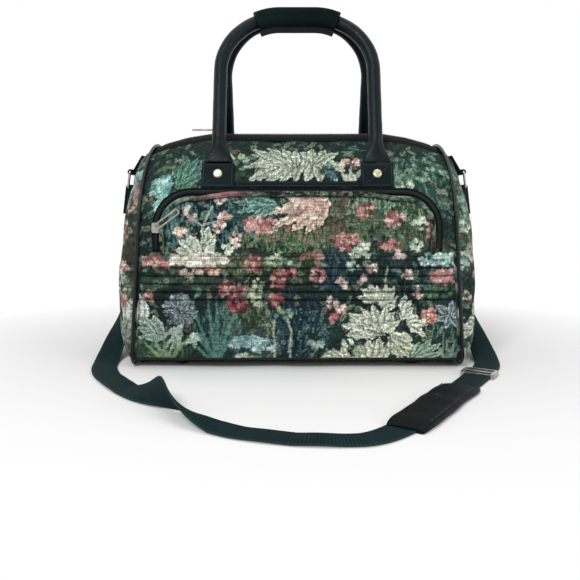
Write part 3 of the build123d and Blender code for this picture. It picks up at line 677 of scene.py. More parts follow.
MOTIFS = [
    # above the pocket
    mass(168, 155, 18, 7, 30, "4a6a4a 6a8560 39553c"),
    mass(158, 171, 13, 12, 52, "5fa39a 8cc9ba 468a86 a9d8c8", dot=3.0, gap="1f4a4c"),
    mass(160, 189, 12, 9, 36, "5fa39a 93cfc0 468a86 7dbcb0", dot=2.8, gap="1f4a4c"),
    mass(183, 184, 12, 7, 20, "6a7f66 8b9a80 4a5f4c"),
    spray(174, 178, 11, "3f7f6c 70ab92 27594c", (202, 156), (196, 150), (205, 166), (186, 148)),
    mass(272, 156, 20, 12, 90, SAGE_MASS, dot=3.2, gap="6c7f64"),
    mass(312, 158, 14, 11, 50, SAGE_MASS, dot=3.0, gap="5c7058"),
    spray(302, 150, 11, SAGE_LEAF, (244, 176), (242, 160), (250, 147), (262, 178), (278, 178), (268, 146),
          (292, 179), ragged=2.4),
    spray(316, 150, 11, SAGE_LEAF, (306, 178), (322, 178), (338, 176), (346, 164), (330, 146), (300, 144),
          ragged=2.4),
    mass(236, 152, 12, 8, 16, "8fae86 5f8a6c b9c79f"),
    spray(296, 158, 10, SAGE_LEAF, (252, 142), (266, 139), (282, 140), (296, 141), ragged=2.4),
    spray(314, 158, 10, SAGE_LEAF, (312, 140), (326, 141), (340, 143), ragged=2.4),
    mass(330, 165, 9, 11, 22, "2a6264 3f807c 1d4a50", gap="1b3a3c"),
    mass(345, 154, 5, 5, 6, PALE_PINK),
    mass(358, 155, 5, 5, 6, PALE_PINK),
    spray(350, 178, 6, "9aa892 c9cfb5", (342, 164), (352, 160), (362, 163)),
    mass(418, 163, 16, 12, 26, "4f7f66 7aa384 34594a", dot=3.4),
    mass(440, 152, 16, 9, 20, "5f8f78 8fb59a 3f6a58", dot=3.0),
    mass(405, 176, 10, 8, 12, "8fb094 4f7f68 c2cfae"),
    mass(448, 176, 10, 14, 16, "39594a 5f8068 8b947a", dot=3.2),
    spray(395, 180, 5, "3f6a54 7aa07c", (386, 158), (398, 156), (408, 160)),
    # pocket, left
    stem(2.2, "a9bcae", (197, 247), (200, 232), (202, 218), (206, 208), (211, 200)),
    stem(1.7, "a9bcae", (202, 222), (192, 214), (187, 208)),
    stem(1.7, "a9bcae", (203, 218), (212, 216), (221, 213)),
    mass(188, 206, 7, 9, 12, PALE_PINK, gap="1f3338"),
    mass(222, 213, 7, 9, 12, PALE_PINK, gap="1f3338"),
    mass(177, 224, 8, 7, 12, "dcc3a6 cfa38c e8dcc2", gap="1f3338"),
    mass(213, 223, 4, 5, 6, PALE_PINK, gap="1f3338"),
    mass(234, 234, 7, 8, 12, "e3d0b8 cf9a8a e8dcc6", gap="1f3338"),
    mass(218, 194, 6, 4, 7, PALE_PINK, gap="1f3338"),
    spray(197, 247, 11, "c3ccb6 e2e5cf 7a8a72", (172, 244), (176, 234), (184, 229), (192, 233)),
    spray(205, 248, 10, "b9c9b0 dde3ca 73866c", (200, 222), (206, 220), (213, 228), (211, 238)),
    mass(225, 243, 8, 6, 9, "d5dcc6 a9bda0 e3e6d2"),
    spray(276, 198, 9, "4f8f84 8fc3b0 2b5a55", (232, 196), (236, 206), (246, 213), (258, 212), (240, 191),
          ragged=2.2),
    # pocket, middle and right
    mass(260, 219, 22, 9, 46, CORAL, dot=2.8, gap="7a4642"),
    spray(328, 192, 13, "d2b296 ecd9bf 9a6f5e", (272, 222), (268, 208), (283, 199), (290, 226), (305, 228),
          (318, 222), (284, 190), ragged=2.6),
    mass(305, 202, 26, 12, 60, PEACH, dot=2.8, gap="8f6a5a"),
    mass(366, 204, 11, 10, 26, ROSE, gap="5a3a36"),
    mass(346, 236, 16, 11, 36, ROSE, gap="5a3a36"),
    mass(396, 213, 13, 8, 24, "c98a82 a95a5c dcb8a4", gap="54483a"),
    mass(392, 240, 16, 6, 22, "bb6f6c d29a8c 93474d", gap="54483a"),
    mass(420, 217, 8, 8, 14, MINT),
    mass(365, 241, 8, 6, 12, "c3cfb0 8fac86 dde0c6"),
    mass(418, 240, 9, 6, 12, MINT),
    mass(432, 222, 5, 15, 18, CORAL, gap="6a4a40"),
    # ribs of the lower panel
    mass(152, 257, 18, 7, 36, CORAL, dot=2.8, gap="7a4642"),
    mass(196, 254, 34, 8, 95, "dbd6c0 e9e4d2 b9b69c cfcab2", dot=2.8, gap="8a866e"),
    mass(206, 265, 14, 5, 18, "d9a08e e3c4ac bb6a62", gap="7a6a58"),
    mass(186, 268, 12, 4, 12, "d9c7ae c0a58c"),
    mass(252, 258, 9, 10, 26, ROSE, gap="5a3a36"),
    mass(278, 254, 15, 7, 24, "8fa882 b9c6a0 5f7f62"),
    mass(286, 268, 14, 6, 18, "b5606a 8f3f48 cf8a80", gap="4a302e"),
    mass(312, 252, 14, 6, 18, "a9786a 7f5a4e c39a84", gap="54483a"),
    mass(317, 270, 10, 9, 24, ROSE, gap="4a302e"),
    mass(360, 248, 14, 4, 16, "a9bfa2 c9d6b9"),
    mass(354, 260, 8, 5, 8, "b9cbb0 8fb09a"),
    mass(373, 262, 6, 6, 9, PALE_PINK),
    mass(362, 275, 7, 6, 9, PALE_PINK),
    mass(343, 279, 6, 6, 8, PALE_PINK),
    mass(401, 250, 6, 6, 8, PALE_PINK),
    mass(409, 269, 6, 7, 9, PALE_PINK),
    mass(421, 287, 6, 7, 9, PALE_PINK),
    mass(442, 254, 26, 8, 56, "7fb0a6 a9cfc0 4f8a86 c3ddce", dot=2.6, gap="2b5a5a"),
    mass(450, 272, 20, 8, 46, CORAL, dot=2.8, gap="7a4642"),
    mass(442, 288, 22, 5, 26, "3f6a4a 5f8a5c 2b4a38"),
    # below the ribs, left
    spray(139, 318, 10, "c5d3c6 e3eadb 7d9488", (124, 296), (130, 288), (137, 294)),
    mass(143, 293, 6, 8, 12, "cf9a88 e0bfa8 a96a62"),
    mass(175, 306, 20, 19, 90, "7b9098 aebfbd 5f7580 c3d0ca", dot=2.4, gap="33434a"),
    spray(177, 308, 5, "66797f a5b8b8 3b4d58", (160, 296), (158, 308), (164, 322), (178, 327), (190, 320),
          (195, 308), (188, 295), (174, 290), ragged=1.2),
    ("bloom", (178, 309), dict(radius=9, color="56686f", light="93a8aa", dark="2b3a42", petals=9)),
    spray(160, 336, 9, "8fb0a0 bfd6c4 4f7566", (130, 318), (128, 326), (136, 314), (147, 312), (130, 336)),
    spray(178, 322, 5, "8fb09c c3d8c2", (156, 350), (162, 356), (170, 352), (152, 338)),
    spray(190, 330, 6, "a3c0ab c9dcc8", (180, 344), (190, 348), (198, 340)),
    blades(160, 366, 4.6, "3f6f4a 82a872", (136, 340), (146, 334), (158, 336), (172, 338), (184, 334)),
    blades(212, 366, 3.8, "2a655e 549186", (188, 300), (192, 326), (205, 296), (214, 290), (216, 310),
           (224, 306), (234, 302), (232, 328), (186, 340)),
    mass(230, 285, 17, 10, 42, ROSE, gap="4a302e"),
    mass(236, 300, 12, 9, 26, "96444a b8696c 7d343c", gap="4a2228"),
    mass(276, 276, 9, 9, 18, ROSE, gap="4a302e"),
    mass(276, 296, 10, 9, 20, "96444a b8696c cfa090", gap="4a2228"),
    mass(256, 288, 10, 16, 24, "a9b48a 7d8f66 c9cba6"),
    mass(246, 341, 24, 7, 44, "7fb0b0 a9ccc6 5f949c", dot=3.0, gap="2f5a62"),
    mass(262, 348, 14, 5, 18, "8fbab6 b5d3c8", gap="2f5a62"),
    mass(243, 358, 16, 5, 18, "a9b591 c9cfae 6f8a6c"),
    stem(2.4, "a9b5a0", (273, 364), (274, 345), (272, 330), (273, 318)),
    stem(2.4, "a9b5a0", (290, 364), (289, 345), (291, 330), (286, 314)),
    mass(282, 310, 12, 6, 14, "5f8a6c 8fac80"),
    # below the ribs, right: the big pale leaves
    stem(2.0, "a3b79c", (389, 262), (387, 275), (385, 300), (384, 330)),
    spray(382, 296, 9, CREAM_LEAF, (358, 292), (362, 284), (370, 279), (378, 281)),
    spray(386, 306, 9, CREAM_LEAF, (388, 279), (396, 282), (400, 292), (398, 302)),
    mass(371, 322, 22, 13, 110, CREAM_MASS, dot=3.4, gap="7c8968"),
    mass(383, 292, 13, 9, 40, CREAM_MASS, dot=3.2, gap="7c8968"),
    mass(405, 346, 13, 11, 55, "bcc4a2 ccd2b4 a8b290", dot=3.4, gap="7c8968"),
    mass(374, 352, 19, 11, 80, OLIVE_MASS, dot=3.4, gap="74815f"),
    mass(335, 358, 13, 7, 40, OLIVE_MASS, dot=3.2, gap="74815f"),
    spray(385, 330, 12, CREAM_LEAF, (348, 333), (343, 322), (350, 310), (362, 304), (374, 301), ragged=2.4),
    spray(385, 330, 11, CREAM_LEAF, (388, 302), (397, 308), (403, 318), ragged=2.2),
    spray(404, 316, 8, "c3cfb6 e3e8d2 75866c", (408, 290), (414, 296), (416, 304)),
    spray(410, 318, 10, CREAM_LEAF, (430, 334), (432, 322), (422, 313)),
    spray(352, 368, 10, STRAW_LEAF, (318, 366), (324, 356), (334, 349), (343, 346), ragged=2.2),
    spray(384, 370, 12, "b4bd98 d6dbbd 626c4a", (353, 358), (359, 346), (370, 338), (382, 335), (392, 341),
          ragged=2.4),
    spray(394, 332, 11, STRAW_LEAF, (398, 352), (407, 362), (417, 360), (422, 350), (417, 338), ragged=2.2),
    mass(349, 341, 6, 6, 8, "b9c2a6 dde1ca"),
    mass(332, 298, 6, 6, 8, PALE_PINK),
    mass(342, 305, 5, 6, 8, PALE_PINK),
    mass(335, 315, 5, 7, 9, "b5606a d9908a"),
    mass(314, 344, 12, 5, 16, "8fb0a0 5f8f8a b5ccb4"),
    mass(434, 312, 9, 10, 22, "d98f7c e8bfa4 b9605a", gap="5a3a36"),
    spray(456, 312, 8, "7f959a b7c7c6 3f515c", (440, 302), (442, 318), (452, 326), (466, 326), (472, 314),
          (470, 302), (458, 297)),
    spray(418, 362, 9, "86a98c b9cfae 4a6c55", (424, 340), (436, 336), (446, 342), (448, 352)),
    blades(456, 366, 4.2, "3f6f58 7fa38a", (444, 346), (452, 336), (462, 338), (470, 344)),
]
# further masses on the ends, placed in millimetres of cloth
END_EXTRA = {
    -1: [mass(-176, 214, 10, 20, 60, "9a6f6c c2a39a 6a4c4c b9b09c", dot=2.2, gap="4a3f3a"),
         mass(-166, 172, 13, 18, 80, "8a6a64 b39a8c 5f4a48 cfc4b0", dot=2.2, gap="4a4038"),
         mass(-150, 136, 15, 20, 80, "b9b3a0 8f9a86 5d6a5c d2ccb8", dot=2.3, gap="39443a"),
         mass(-174, 112, 10, 16, 50, "9fb3a4 c3cfbd 6b8073", dot=2.2, gap="2f4038"),
         mass(-120, 190, 16, 16, 50, "5fa39a 8cc9ba 468a86", dot=2.6, gap="1f4a4c")],
    1: [mass(128, 200, 12, 18, 60, "8fb5a0 bdd0b8 5a8270", dot=2.4, gap="2a4038"),
        mass(132, 150, 12, 16, 60, "b9b3a0 8f9a86 d2ccb8", dot=2.3, gap="39443a")],
}


# Form of the body, its front and its back
def crown_height(x):
    """Height of the body's top over x, from the same stations as the CAD."""
    stations = [0.0, 0.110, 0.14025, 0.165, 0.1798, 0.205]
    heights = [0.286, 0.286, 0.2812, 0.27448, 0.2692, 0.2600]
    return np.interp(np.abs(x), stations, heights)


def section_curve(top, count_wall, count_crown):
    """Front half of the section, from under the base up the wall to the middle of the crown, as y, z."""
    spring, corner = top - CROWN_R, BASE_CORNER
    points = []
    for a in np.linspace(0, 90, 7)[:-1]:
        t = math.radians(a)
        points.append((-CROWN_R + corner - corner * math.sin(t), BASE_Z + corner - corner * math.cos(t)))
    for z in np.linspace(BASE_Z + corner, spring, count_wall)[:-1]:
        points.append((-CROWN_R, z))
    for a in np.linspace(0, 90, count_crown):
        t = math.radians(a)
        points.append((-CROWN_R * math.cos(t), spring + CROWN_R * math.sin(t)))
    return points


def seam_x(z):
    """Half-length of the bag at height z, where the end seam leans in."""
    return BASE_HALF - (z - BASE_Z) * math.tan(LEAN)


def wall_swell(x, arc):
    """Slight pulls: the cloth falls in between the tabs and fills out below."""
    tabs = np.exp(-((np.abs(x) - 0.094) / 0.03) ** 2 - ((arc - 0.255) / 0.02) ** 2)
    return 0.0008 * tabs - 0.0012 * np.exp(-(x / 0.06) ** 2 - ((arc - 0.25) / 0.02) ** 2)


WALL_LOW, WALL_JOIN = 0.024, 0.138   # the wall's rows are finer above the lower panel
CROWN_TUCK = 0.010   # the crown's half-length is read this much lower
# angles on the crown where the dark band starts and where the zip tape does
BAND_ARC, TAPE_ARC = [math.degrees(math.acos(half / CROWN_R)) for half in (0.046, 0.016)]


def wall_sheet(name, node_name, face, cols, rows_wall, rows_crown, seed, mirror=False):
    """Front or back cloth, from low on the wall up and over to the dark band."""
    us = np.linspace(-1, 1, cols)
    low, high = np.linspace(WALL_LOW, WALL_JOIN, rows_wall)[:-1], np.linspace(WALL_JOIN, CROWN_Z, 46)[:-1]
    verts, cloth = [], []
    for z in np.concatenate([low, high]):
        for x in us * seam_x(z):
            spring = float(crown_height(x)) - CROWN_R
            lift = (z - BASE_Z) / (CROWN_Z - BASE_Z)
            verts.append((x, -CROWN_R, BASE_Z + (spring - BASE_Z) * lift))
            cloth.append((x, z))
    for a in np.linspace(0, BAND_ARC, rows_crown):
        t = math.radians(a)
        for x in us * seam_x(CROWN_Z + CROWN_R * math.sin(t) - CROWN_TUCK):
            spring = float(crown_height(x)) - CROWN_R
            verts.append((x, -CROWN_R * math.cos(t), spring + CROWN_R * math.sin(t)))
            cloth.append((x, CROWN_Z + CROWN_R * t))
    verts, cloth = np.array(verts), np.array(cloth)
    rows = len(verts) // cols
    x, arc = cloth[:, 0], cloth[:, 1]
    # small sags, pulls and lumps of a soft wall, none at the seams
    hold = np.tile(np.clip((1 - np.abs(us)) * 9, 0, 1), rows)
    waves = layered(x / 0.055, arc / 0.035, 3, seed) * 0.0016
    waves = waves + layered(x / 0.018, arc / 0.022, 2, seed + 4) * 0.0004
    out = waves * hold + wall_swell(x, arc) * hold
    normal = np.zeros_like(verts)
    over = np.clip((arc - CROWN_Z) / CROWN_R, 0, math.pi / 2)
    normal[:, 1] = -np.cos(over)
    normal[:, 2] = np.sin(over)
    verts = turned(verts + normal * out[:, None], face)
    picture = verdure(x * 1000 * -face, arc * 1000, seed, mirror)
    cloth_piece(name, node_name, verts, grid_faces(rows, cols, flip=face > 0), picture, cloth)


wall_sheet("front_cloth", "front_panel", -1, 390, 14, 84, 3)
wall_sheet("back_cloth", "back_panel", 1, 290, 80, 56, 8, mirror=True)


def top_band(label, face):
    """Dark band along the crown, standing a little proud."""
    cols, rows, proud = 180, 10, 0.0006
    us = np.linspace(-1, 1, cols)
    verts, place = [], []
    for i, a in enumerate(np.linspace(BAND_ARC, TAPE_ARC, rows)):
        t = math.radians(a)
        edge = min(i, rows - 1 - i) / 1.5
        r = CROWN_R + proud * min(1.0, edge)
        for x in us * (seam_x(CROWN_Z + CROWN_R * math.sin(t) - CROWN_TUCK) - 0.001):
            verts.append((x, -r * math.cos(t), float(crown_height(x)) - CROWN_R + r * math.sin(t)))
            place.append((x, CROWN_R * t))
    place = np.array(place)
    faces = grid_faces(rows, cols, flip=face > 0)
    obj = mesh_object("band_" + label, turned(np.array(verts), face), faces, BAND)
    set_attribute(obj, "thread", place - [0, place[:, 1].mean()])
    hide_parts("top_band_" + label)


top_band("front", -1)
top_band("back", 1)


# Ends
DOME = 0.028         # how far an end bulges out
END_HEIGHT = 0.264   # of an end, from the base up


def end_sheet(side, label, seed):
    """Domed end cloth: rings from the seam in to the middle of the panel."""
    ring = section_curve(BASE_Z + END_HEIGHT, 110, 70)
    under = [(y, BASE_Z) for y in np.linspace(-ring[0][0], ring[0][0], 72)[1:-1]]
    outline = np.array(ring + [(-y, z) for y, z in ring[::-1][1:]] + under)
    n = len(outline)
    centre = np.array([0.0, 0.135])
    depths = np.linspace(0, 1, 120)
    share = np.interp(depths * CROWN_R, [0, 0.003, 0.009, 0.020, 0.036, 0.060, 0.095],
                      [0.02, 0.24, 0.51, 0.76, 0.92, 1.0, 1.0])
    verts, cloth = [], []
    for d, s in zip(depths, share):
        ringpts = outline + (centre - outline) * d
        lean = np.tan(LEAN) * (ringpts[:, 1] - BASE_Z)
        x = side * (BASE_HALF - lean + DOME * s)
        verts.extend(zip(x, ringpts[:, 0], ringpts[:, 1]))
        cloth.extend(zip(side * -ringpts[:, 0], ringpts[:, 1]))
    verts, cloth = np.array(verts), np.array(cloth)
    u, v = cloth[:, 0], cloth[:, 1]
    out = layered(u / 0.05, v / 0.04, 3, seed) * 0.0022
    depth = np.repeat(depths, n)
    sag = 0.0035 * np.exp(-((v - 0.10) / 0.05) ** 2) - 0.003 * np.exp(-((v - 0.21) / 0.03) ** 2)
    verts[:, 0] += side * (out + sag) * np.clip(depth * 6, 0, 1)
    verts[:, 1] += SET_BACK
    colours = verdure(u * 1000 + side * 75 - 20, v * 1000 + 6, seed, extra=END_EXTRA[side])
    warm = np.array(lin("7a6458" if side < 0 else "5c6a5c"))
    amount = np.clip(0.10 + 0.22 * layered(u / 0.03, v / 0.03, 2, seed + 1), 0, 0.6)[:, None]
    faces = grid_faces(len(depths), n, close_cols=True, flip=side > 0)
    picture = colours * (1 - amount) + warm * amount
    cloth_piece("end_cloth_" + label, "end_panel_" + label, verts, faces, picture, cloth)


for side, label, seed in ((-1, "left", 21), (1, "right", 22)):
    end_sheet(side, label, seed)
    paint_node("end_piping_" + label, PIPING)


# Lower panel with its quilted ribs
def lower_cloth():
    cols, rows = 380, 236
    us = np.linspace(-1, 1, cols)
    vs = np.linspace(0.0135, 0.1415, rows)
    z = np.repeat(vs, cols)
    half = seam_x(z) - 0.0048
    x = np.tile(us, rows) * half
    side = np.clip((half - np.abs(x)) / 0.034, 0, 1)
    face = 0.0015 + 0.0085 * np.sin(side * math.pi / 2) ** 0.8
    low = np.clip((z - 0.012) / 0.036, 0, 1)
    face = face * (0.30 + 0.70 * np.sin(low * math.pi / 2))
    top = np.clip((0.142 - z) / 0.004, 0, 1)
    face = face * (0.70 + 0.30 * np.sqrt(top))
    pinch = np.clip(side * 3, 0, 1)
    # heights of the stitched grooves
    grooves = [0.1375, 0.1325, 0.1235, 0.1140, 0.1045, 0.0950, 0.0855]
    rib = np.zeros_like(z)
    for a, b in zip(grooves[1:], grooves[2:]):
        m = (z <= a) & (z >= b)
        t = (z - b) / (a - b)
        rib[m] = 0.0029 * np.sqrt(np.clip(np.sin(math.pi * t[m]), 0, 1))
    for g in grooves:
        rib -= 0.0007 * np.exp(-((z - g) / 0.0009) ** 2)
    soft_wave = layered(x / 0.06, z / 0.03, 3, 5) * 0.0012 * pinch
    ripple = layered(x / 0.012, z / 0.02, 2, 6) * 0.0005 * pinch
    below = np.clip((0.0855 - z) / 0.02, 0, 1)
    pull = 0.0012 * below * np.sin(x / 0.021 + layered(x / 0.09, z / 0.05, 2, 9) * 2.0)
    y = -CROWN_R - (face + rib * pinch + soft_wave + ripple + pull * pinch)
    border = np.zeros((rows, cols), dtype=bool)
    border[0, :] = border[-1, :] = border[:, 0] = border[:, -1] = True
    y = np.where(border.ravel(), np.maximum(y + 0.0016, -CROWN_R - 0.0012), y)
    verts = np.stack([x, y + SET_BACK, z], -1)
    colour = verdure(x * 1000, z * 1000, 3)
    # painted shade along each stitched groove, widened into a soft band at the grooves below 0.13 m
    dark = np.zeros_like(z)
    for g in grooves:
        near, wide = np.exp(-((z - g) / 0.0008) ** 2), np.exp(-((z - g - 0.0004) / 0.0026) ** 2)
        dark = np.maximum(dark, 0.75 * near + 0.42 * wide * (g < 0.13))
    colour = colour * (1 - 0.62 * np.minimum(dark, 1)[:, None])
    cloth_piece("lower_cloth", "lower_panel", verts, grid_faces(rows, cols), colour, np.stack([x, z], -1))


lower_cloth()


# Pocket
POCKET_HALF, POCKET_TOP, POCKET_CORNER, LOWER_TOP = 0.162, 0.207, 0.038, 0.142


def cover(x):
    """How far the pocket's top edge stands up over its zip, none of it at the corners."""
    return 0.0052 * np.clip((POCKET_HALF - 0.050 - np.abs(x)) / 0.034, 0, 1) ** 0.8


def arch(grow, low=LOWER_TOP - 0.003, count=26, straight=20, across=90):
    """Arch of the pocket's edge from its left foot round to its right foot, as x and z."""
    half, top, corner = POCKET_HALF + grow, POCKET_TOP + grow, POCKET_CORNER + grow
    points = [(-half, z) for z in np.linspace(low, top - corner, straight)[:-1]]
    for a in np.linspace(180, 90, count):
        t = math.radians(a)
        points.append((-half + corner + corner * math.cos(t), top - corner + corner * math.sin(t)))
    points += [(x, top) for x in np.linspace(-half + corner, half - corner, across)[1:-1]]
    for a in np.linspace(90, 0, count):
        t = math.radians(a)
        points.append((half - corner + corner * math.cos(t), top - corner + corner * math.sin(t)))
    points += [(half, z) for z in np.linspace(top - corner, low, straight)[1:]]
    return np.array(points)


def pocket_cloth():
    cols, rows = 360, 100
    rim = -0.0041
    half, top, corner = POCKET_HALF + rim, POCKET_TOP + rim, POCKET_CORNER + rim
    us, vs = np.linspace(-1, 1, cols), np.linspace(0, 1, rows)
    x = np.tile(us, rows) * half
    over = np.clip(np.abs(x) - (half - corner), 0, corner)
    ceiling = top - corner + np.sqrt(np.clip(corner ** 2 - over ** 2, 0, None)) + cover(x)
    low = LOWER_TOP - 0.003
    z = low + np.repeat(vs, cols) * (ceiling - low)
    edge = np.minimum(half - np.abs(x), ceiling - z)
    swell = np.clip(edge / 0.020, 0, 1)
    out = 0.0052 + 0.0028 * np.sin(swell * math.pi / 2) + layered(x / 0.045, z / 0.03, 3, 12) * 0.0011 * swell
    out = out + 0.0004 * layered(x / 0.013, z / 0.016, 2, 13) * swell
    verts = np.stack([x, -CROWN_R - out + SET_BACK, z], -1)
    # painted shadow: a dark line just inside the pocket's edge, along the piping
    seam = 1 - 0.75 * np.exp(-((edge - 0.0012) / 0.0016) ** 2)
    picture = verdure(x * 1000, z * 1000, 3) * seam[:, None]
    cloth_piece("pocket_cloth", "pocket_panel", verts, grid_faces(rows, cols), picture, np.stack([x, z], -1))


def tube(points, radius, sides):
    """Round rope through points; gives vertices, faces and the angle and run of each vertex."""
    points = np.array(points, dtype=float)
    verts, around, length = [], [], []
    for p, t, s in zip(points, ways(points), run_along(points)):
        side = np.cross(t, [0, 1.0, 0])
        side /= np.linalg.norm(side) + 1e-12
        other = np.cross(side, t)
        for k in range(sides):
            a = 2 * math.pi * k / sides
            verts.append(p + radius * (side * math.cos(a) + other * math.sin(a)))
            around.append(a)
            length.append(s)
    faces = grid_faces(len(points), sides, close_cols=True)
    return np.array(verts), faces, np.array(around), np.array(length)


def pocket_rope():
    line = arch(-0.0022, count=30, straight=30, across=200)
    lift = 0.0035 + 0.0022
    points = [(x, -CROWN_R - lift + SET_BACK, z + (cover(x) if z > POCKET_TOP - 0.004 else 0.0))
              for x, z in line]
    verts, faces, around, length = tube(points, 0.0029, 14)
    u, v = verts[:, 0] * 1000, verts[:, 2] * 1000
    colour = verdure(u + 6, v + 9, 3)
    dabs = layered(length / 0.0046, around * 1.1, 2, 41)
    share = np.clip(dabs * 1.1, 0, 0.75)[:, None]
    colour = colour * (1 - share) + np.array(lin("7d8b78")) * share
    colour = colour * (1 - np.clip(-dabs * 0.8, 0, 0.6))[:, None]
    pink = (np.exp(-((u + 88) / 22) ** 2)[:, None] * 0.75)
    colour = colour * (1 - pink) + np.array(lin("a2727a")) * pink
    thread = np.stack([length, around * 0.0024], -1)
    cloth_piece("pocket_rope", "pocket_piping", verts, faces, np.clip(colour, 0, 0.9), thread)


pocket_cloth()
pocket_rope()
for name in ("pocket_zip_tape", "pocket_gusset", "main_zip_tape"):
    paint_node(name, TAPE)


TOOTH_PITCH = 0.0018


def coil(name, node_name, places, normals, width=0.0046, height=0.0016):
    """Row of small zip teeth: places along the chain, each a low rounded bar across it."""
    verts, faces = [], []
    places, normals = np.array(places), np.array(normals)
    profile = [(-0.5, 0.0), (-0.46, 0.7), (-0.2, 1.0), (0.2, 1.0), (0.46, 0.7), (0.5, 0.0)]
    for i, (p, t, n) in enumerate(zip(places, ways(places), normals)):
        across = np.cross(t, n)
        offset = across * width * (0.06 if i % 2 else -0.06)
        for edge, scale in ((-0.00072, 0.55), (-0.00035, 1.0), (0.00035, 1.0), (0.00072, 0.55)):
            for a, h in profile:
                verts.append(p + offset + t * edge + across * a * width + n * h * height * scale)
        faces.extend(grid_faces(4, 6) + i * 24)
    obj = mesh_object(name, verts, faces, TEETH)
    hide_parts(node_name)


line = np.array([(x, -CROWN_R - 0.0012 + SET_BACK, z) for x, z in arch(0.005, low=LOWER_TOP + 0.002)])
run = run_along(line)
teeth = places_at(np.arange(TOOTH_PITCH, run[-1] - TOOTH_PITCH, TOOTH_PITCH), run, line)
coil("pocket_coil", "pocket_zip_teeth", teeth, [(0, -1, 0)] * len(teeth))
teeth = [(x, SET_BACK, float(crown_height(x))) for x in np.arange(-0.172, 0.172, TOOTH_PITCH)]
slope = np.gradient(np.array([p[2] for p in teeth]), TOOTH_PITCH)
coil("main_coil", "main_zip_teeth", teeth, np.stack([-slope, np.zeros_like(slope), np.ones_like(slope)], -1))


# Stitches, the pieces that keep their CAD form, and the handles
def stitches(name, points, normals, length=0.0030, gap=0.0014, radius=0.00036, mat=PALE_THREAD):
    """Row of short raised stitches along a line on a surface."""
    points, normals = np.array(points, dtype=float), np.array(normals, dtype=float)
    run = run_along(points)
    verts, faces = [], []
    start = gap
    s = np.linspace(0, 1, 5)
    lift = 0.0002 + radius * 0.5 - radius * 1.6 * (2 * s - 1) ** 4
    while start + length < run[-1]:
        where = start + s * length
        row = places_at(where, run, points) + places_at(where, run, normals) * lift[:, None]
        v, f, _, _ = tube(row, radius, 6)
        faces.extend((f + len(verts)).tolist())
        verts.extend(v.tolist())
        start += length + gap
    return mesh_object(name, verts, faces, mat)


tabs = ["handle_tab_%s_%s" % (face, side) for face in ("front", "back") for side in ("left", "right")]
for mat, names in (
        (TRIM, ["trim_strip_front", "trim_strip_back"] + tabs), (WRAP, ["grip_wrap"]), (RIVET, ["rivets"]),
        (FOOT, ["feet"]), (BOARD, ["base_board"]), (TAPE, ["ring_tab_left", "ring_tab_right"]),
        (PEWTER, ["main_slider", "main_pull", "pocket_slider", "pocket_pull", "strap_adjuster",
                  "strap_ring_left", "strap_ring_right"])):
    for name in names:
        paint_node(name, mat)


def paint_base():
    """Plain dark tapestry on the CAD's own base panel."""
    paint_node("base_panel", TAPESTRY)
    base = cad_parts["base_panel"]
    places = np.array([v.co[:] for v in base.data.vertices])
    cloud = layered(places[:, 0] / 0.02, places[:, 1] / 0.02, 2, 51)
    set_attribute(base, "picture", np.array(lin("3b423a")) * (1 + 0.3 * cloud)[:, None])
    set_attribute(base, "thread", places[:, :2])


paint_base()
TAB_Z = 0.246
GRIP_Y, GRIP_Z = -0.00875, 0.428


def rolled_handle(face, label):
    """Padded leather tube that flattens and widens into its tab at both feet, as one skin."""
    rise = math.asin((TAB_Z - CROWN_Z) / CROWN_R)
    reach = CROWN_R + 0.0021
    foot = np.array([0, -reach * math.cos(rise), CROWN_Z + reach * math.sin(rise)])
    lean = math.atan2(GRIP_Y - foot[1], GRIP_Z - foot[2])
    height = math.hypot(GRIP_Y - foot[1], GRIP_Z - foot[2])
    along = np.array([0, math.sin(lean), math.cos(lean)])
    seat = np.array([0, math.sin(rise), math.cos(rise)])
    aside, flat = np.array([1.0, 0, 0]), np.array([0, -math.cos(lean), math.sin(lean)])
    half, bend, flare, round_r = 0.094, 0.072, 0.033, 0.0083
    stations = []
    for t in np.linspace(0, 1, 18)[:-1]:
        place = foot - aside * half + seat * 0.026 * t * (1 - t) + along * flare * t * t
        way = seat * 0.026 * (1 - 2 * t) + along * flare * 2 * t
        grow = 3 * t * t - 2 * t ** 3
        stations.append((place, way, round_r + 0.0087 * (1 - grow) ** 1.25, 0.0019 + 0.0064 * grow ** 0.85))
    for h in np.linspace(flare, height - bend, 22)[:-1]:
        stations.append((foot - aside * half + along * h, along, round_r, round_r))
    for a in np.linspace(0, 90, 30)[:-1]:
        t = math.radians(a)
        place = foot + aside * (-half + bend - bend * math.cos(t))
        place = place + along * (height - bend + bend * math.sin(t))
        stations.append((place, aside * math.sin(t) + along * math.cos(t), round_r, round_r))
    for x in np.linspace(-half + bend, 0, 8):
        stations.append((foot + aside * x + along * height, aside, round_r, round_r))
    sides, verts = 40, []
    turn = np.array([-1.0, 1, 1])
    full = stations + [(p * turn, w * np.array([1.0, -1, -1]), a, b) for p, w, a, b in stations[::-1][1:]]
    run = 0.0
    for i, (place, way, wide, thick) in enumerate(full):
        way = way / np.linalg.norm(way)
        if i:
            run += float(np.linalg.norm(place - full[i - 1][0]))
        out = flat - way * flat.dot(way)
        out /= np.linalg.norm(out)
        inward = np.cross(way, out)
        for k in range(sides):
            a = 2 * math.pi * k / sides
            crease = 1 + 0.010 * math.sin(run * 190 + 2 * math.sin(a)) + 0.006 * math.sin(run * 470 + a * 3)
            # the seam where the leather meets itself, along the inner side
            seam = 1 - 0.05 * math.exp(-((math.remainder(a - 0.3, 2 * math.pi)) / 0.10) ** 2)
            verts.append(place + (inward * math.cos(a) * wide + out * math.sin(a) * thick) * crease * seam)
    faces = grid_faces(len(full), sides, close_cols=True, flip=face < 0).tolist()
    faces += tube_caps(len(full), sides)
    obj = mesh_object("rolled_handle_" + label, turned(np.array(verts), face), faces, LEATHER)
    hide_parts("handle_" + label)


rolled_handle(-1, "front")
rolled_handle(1, "back")


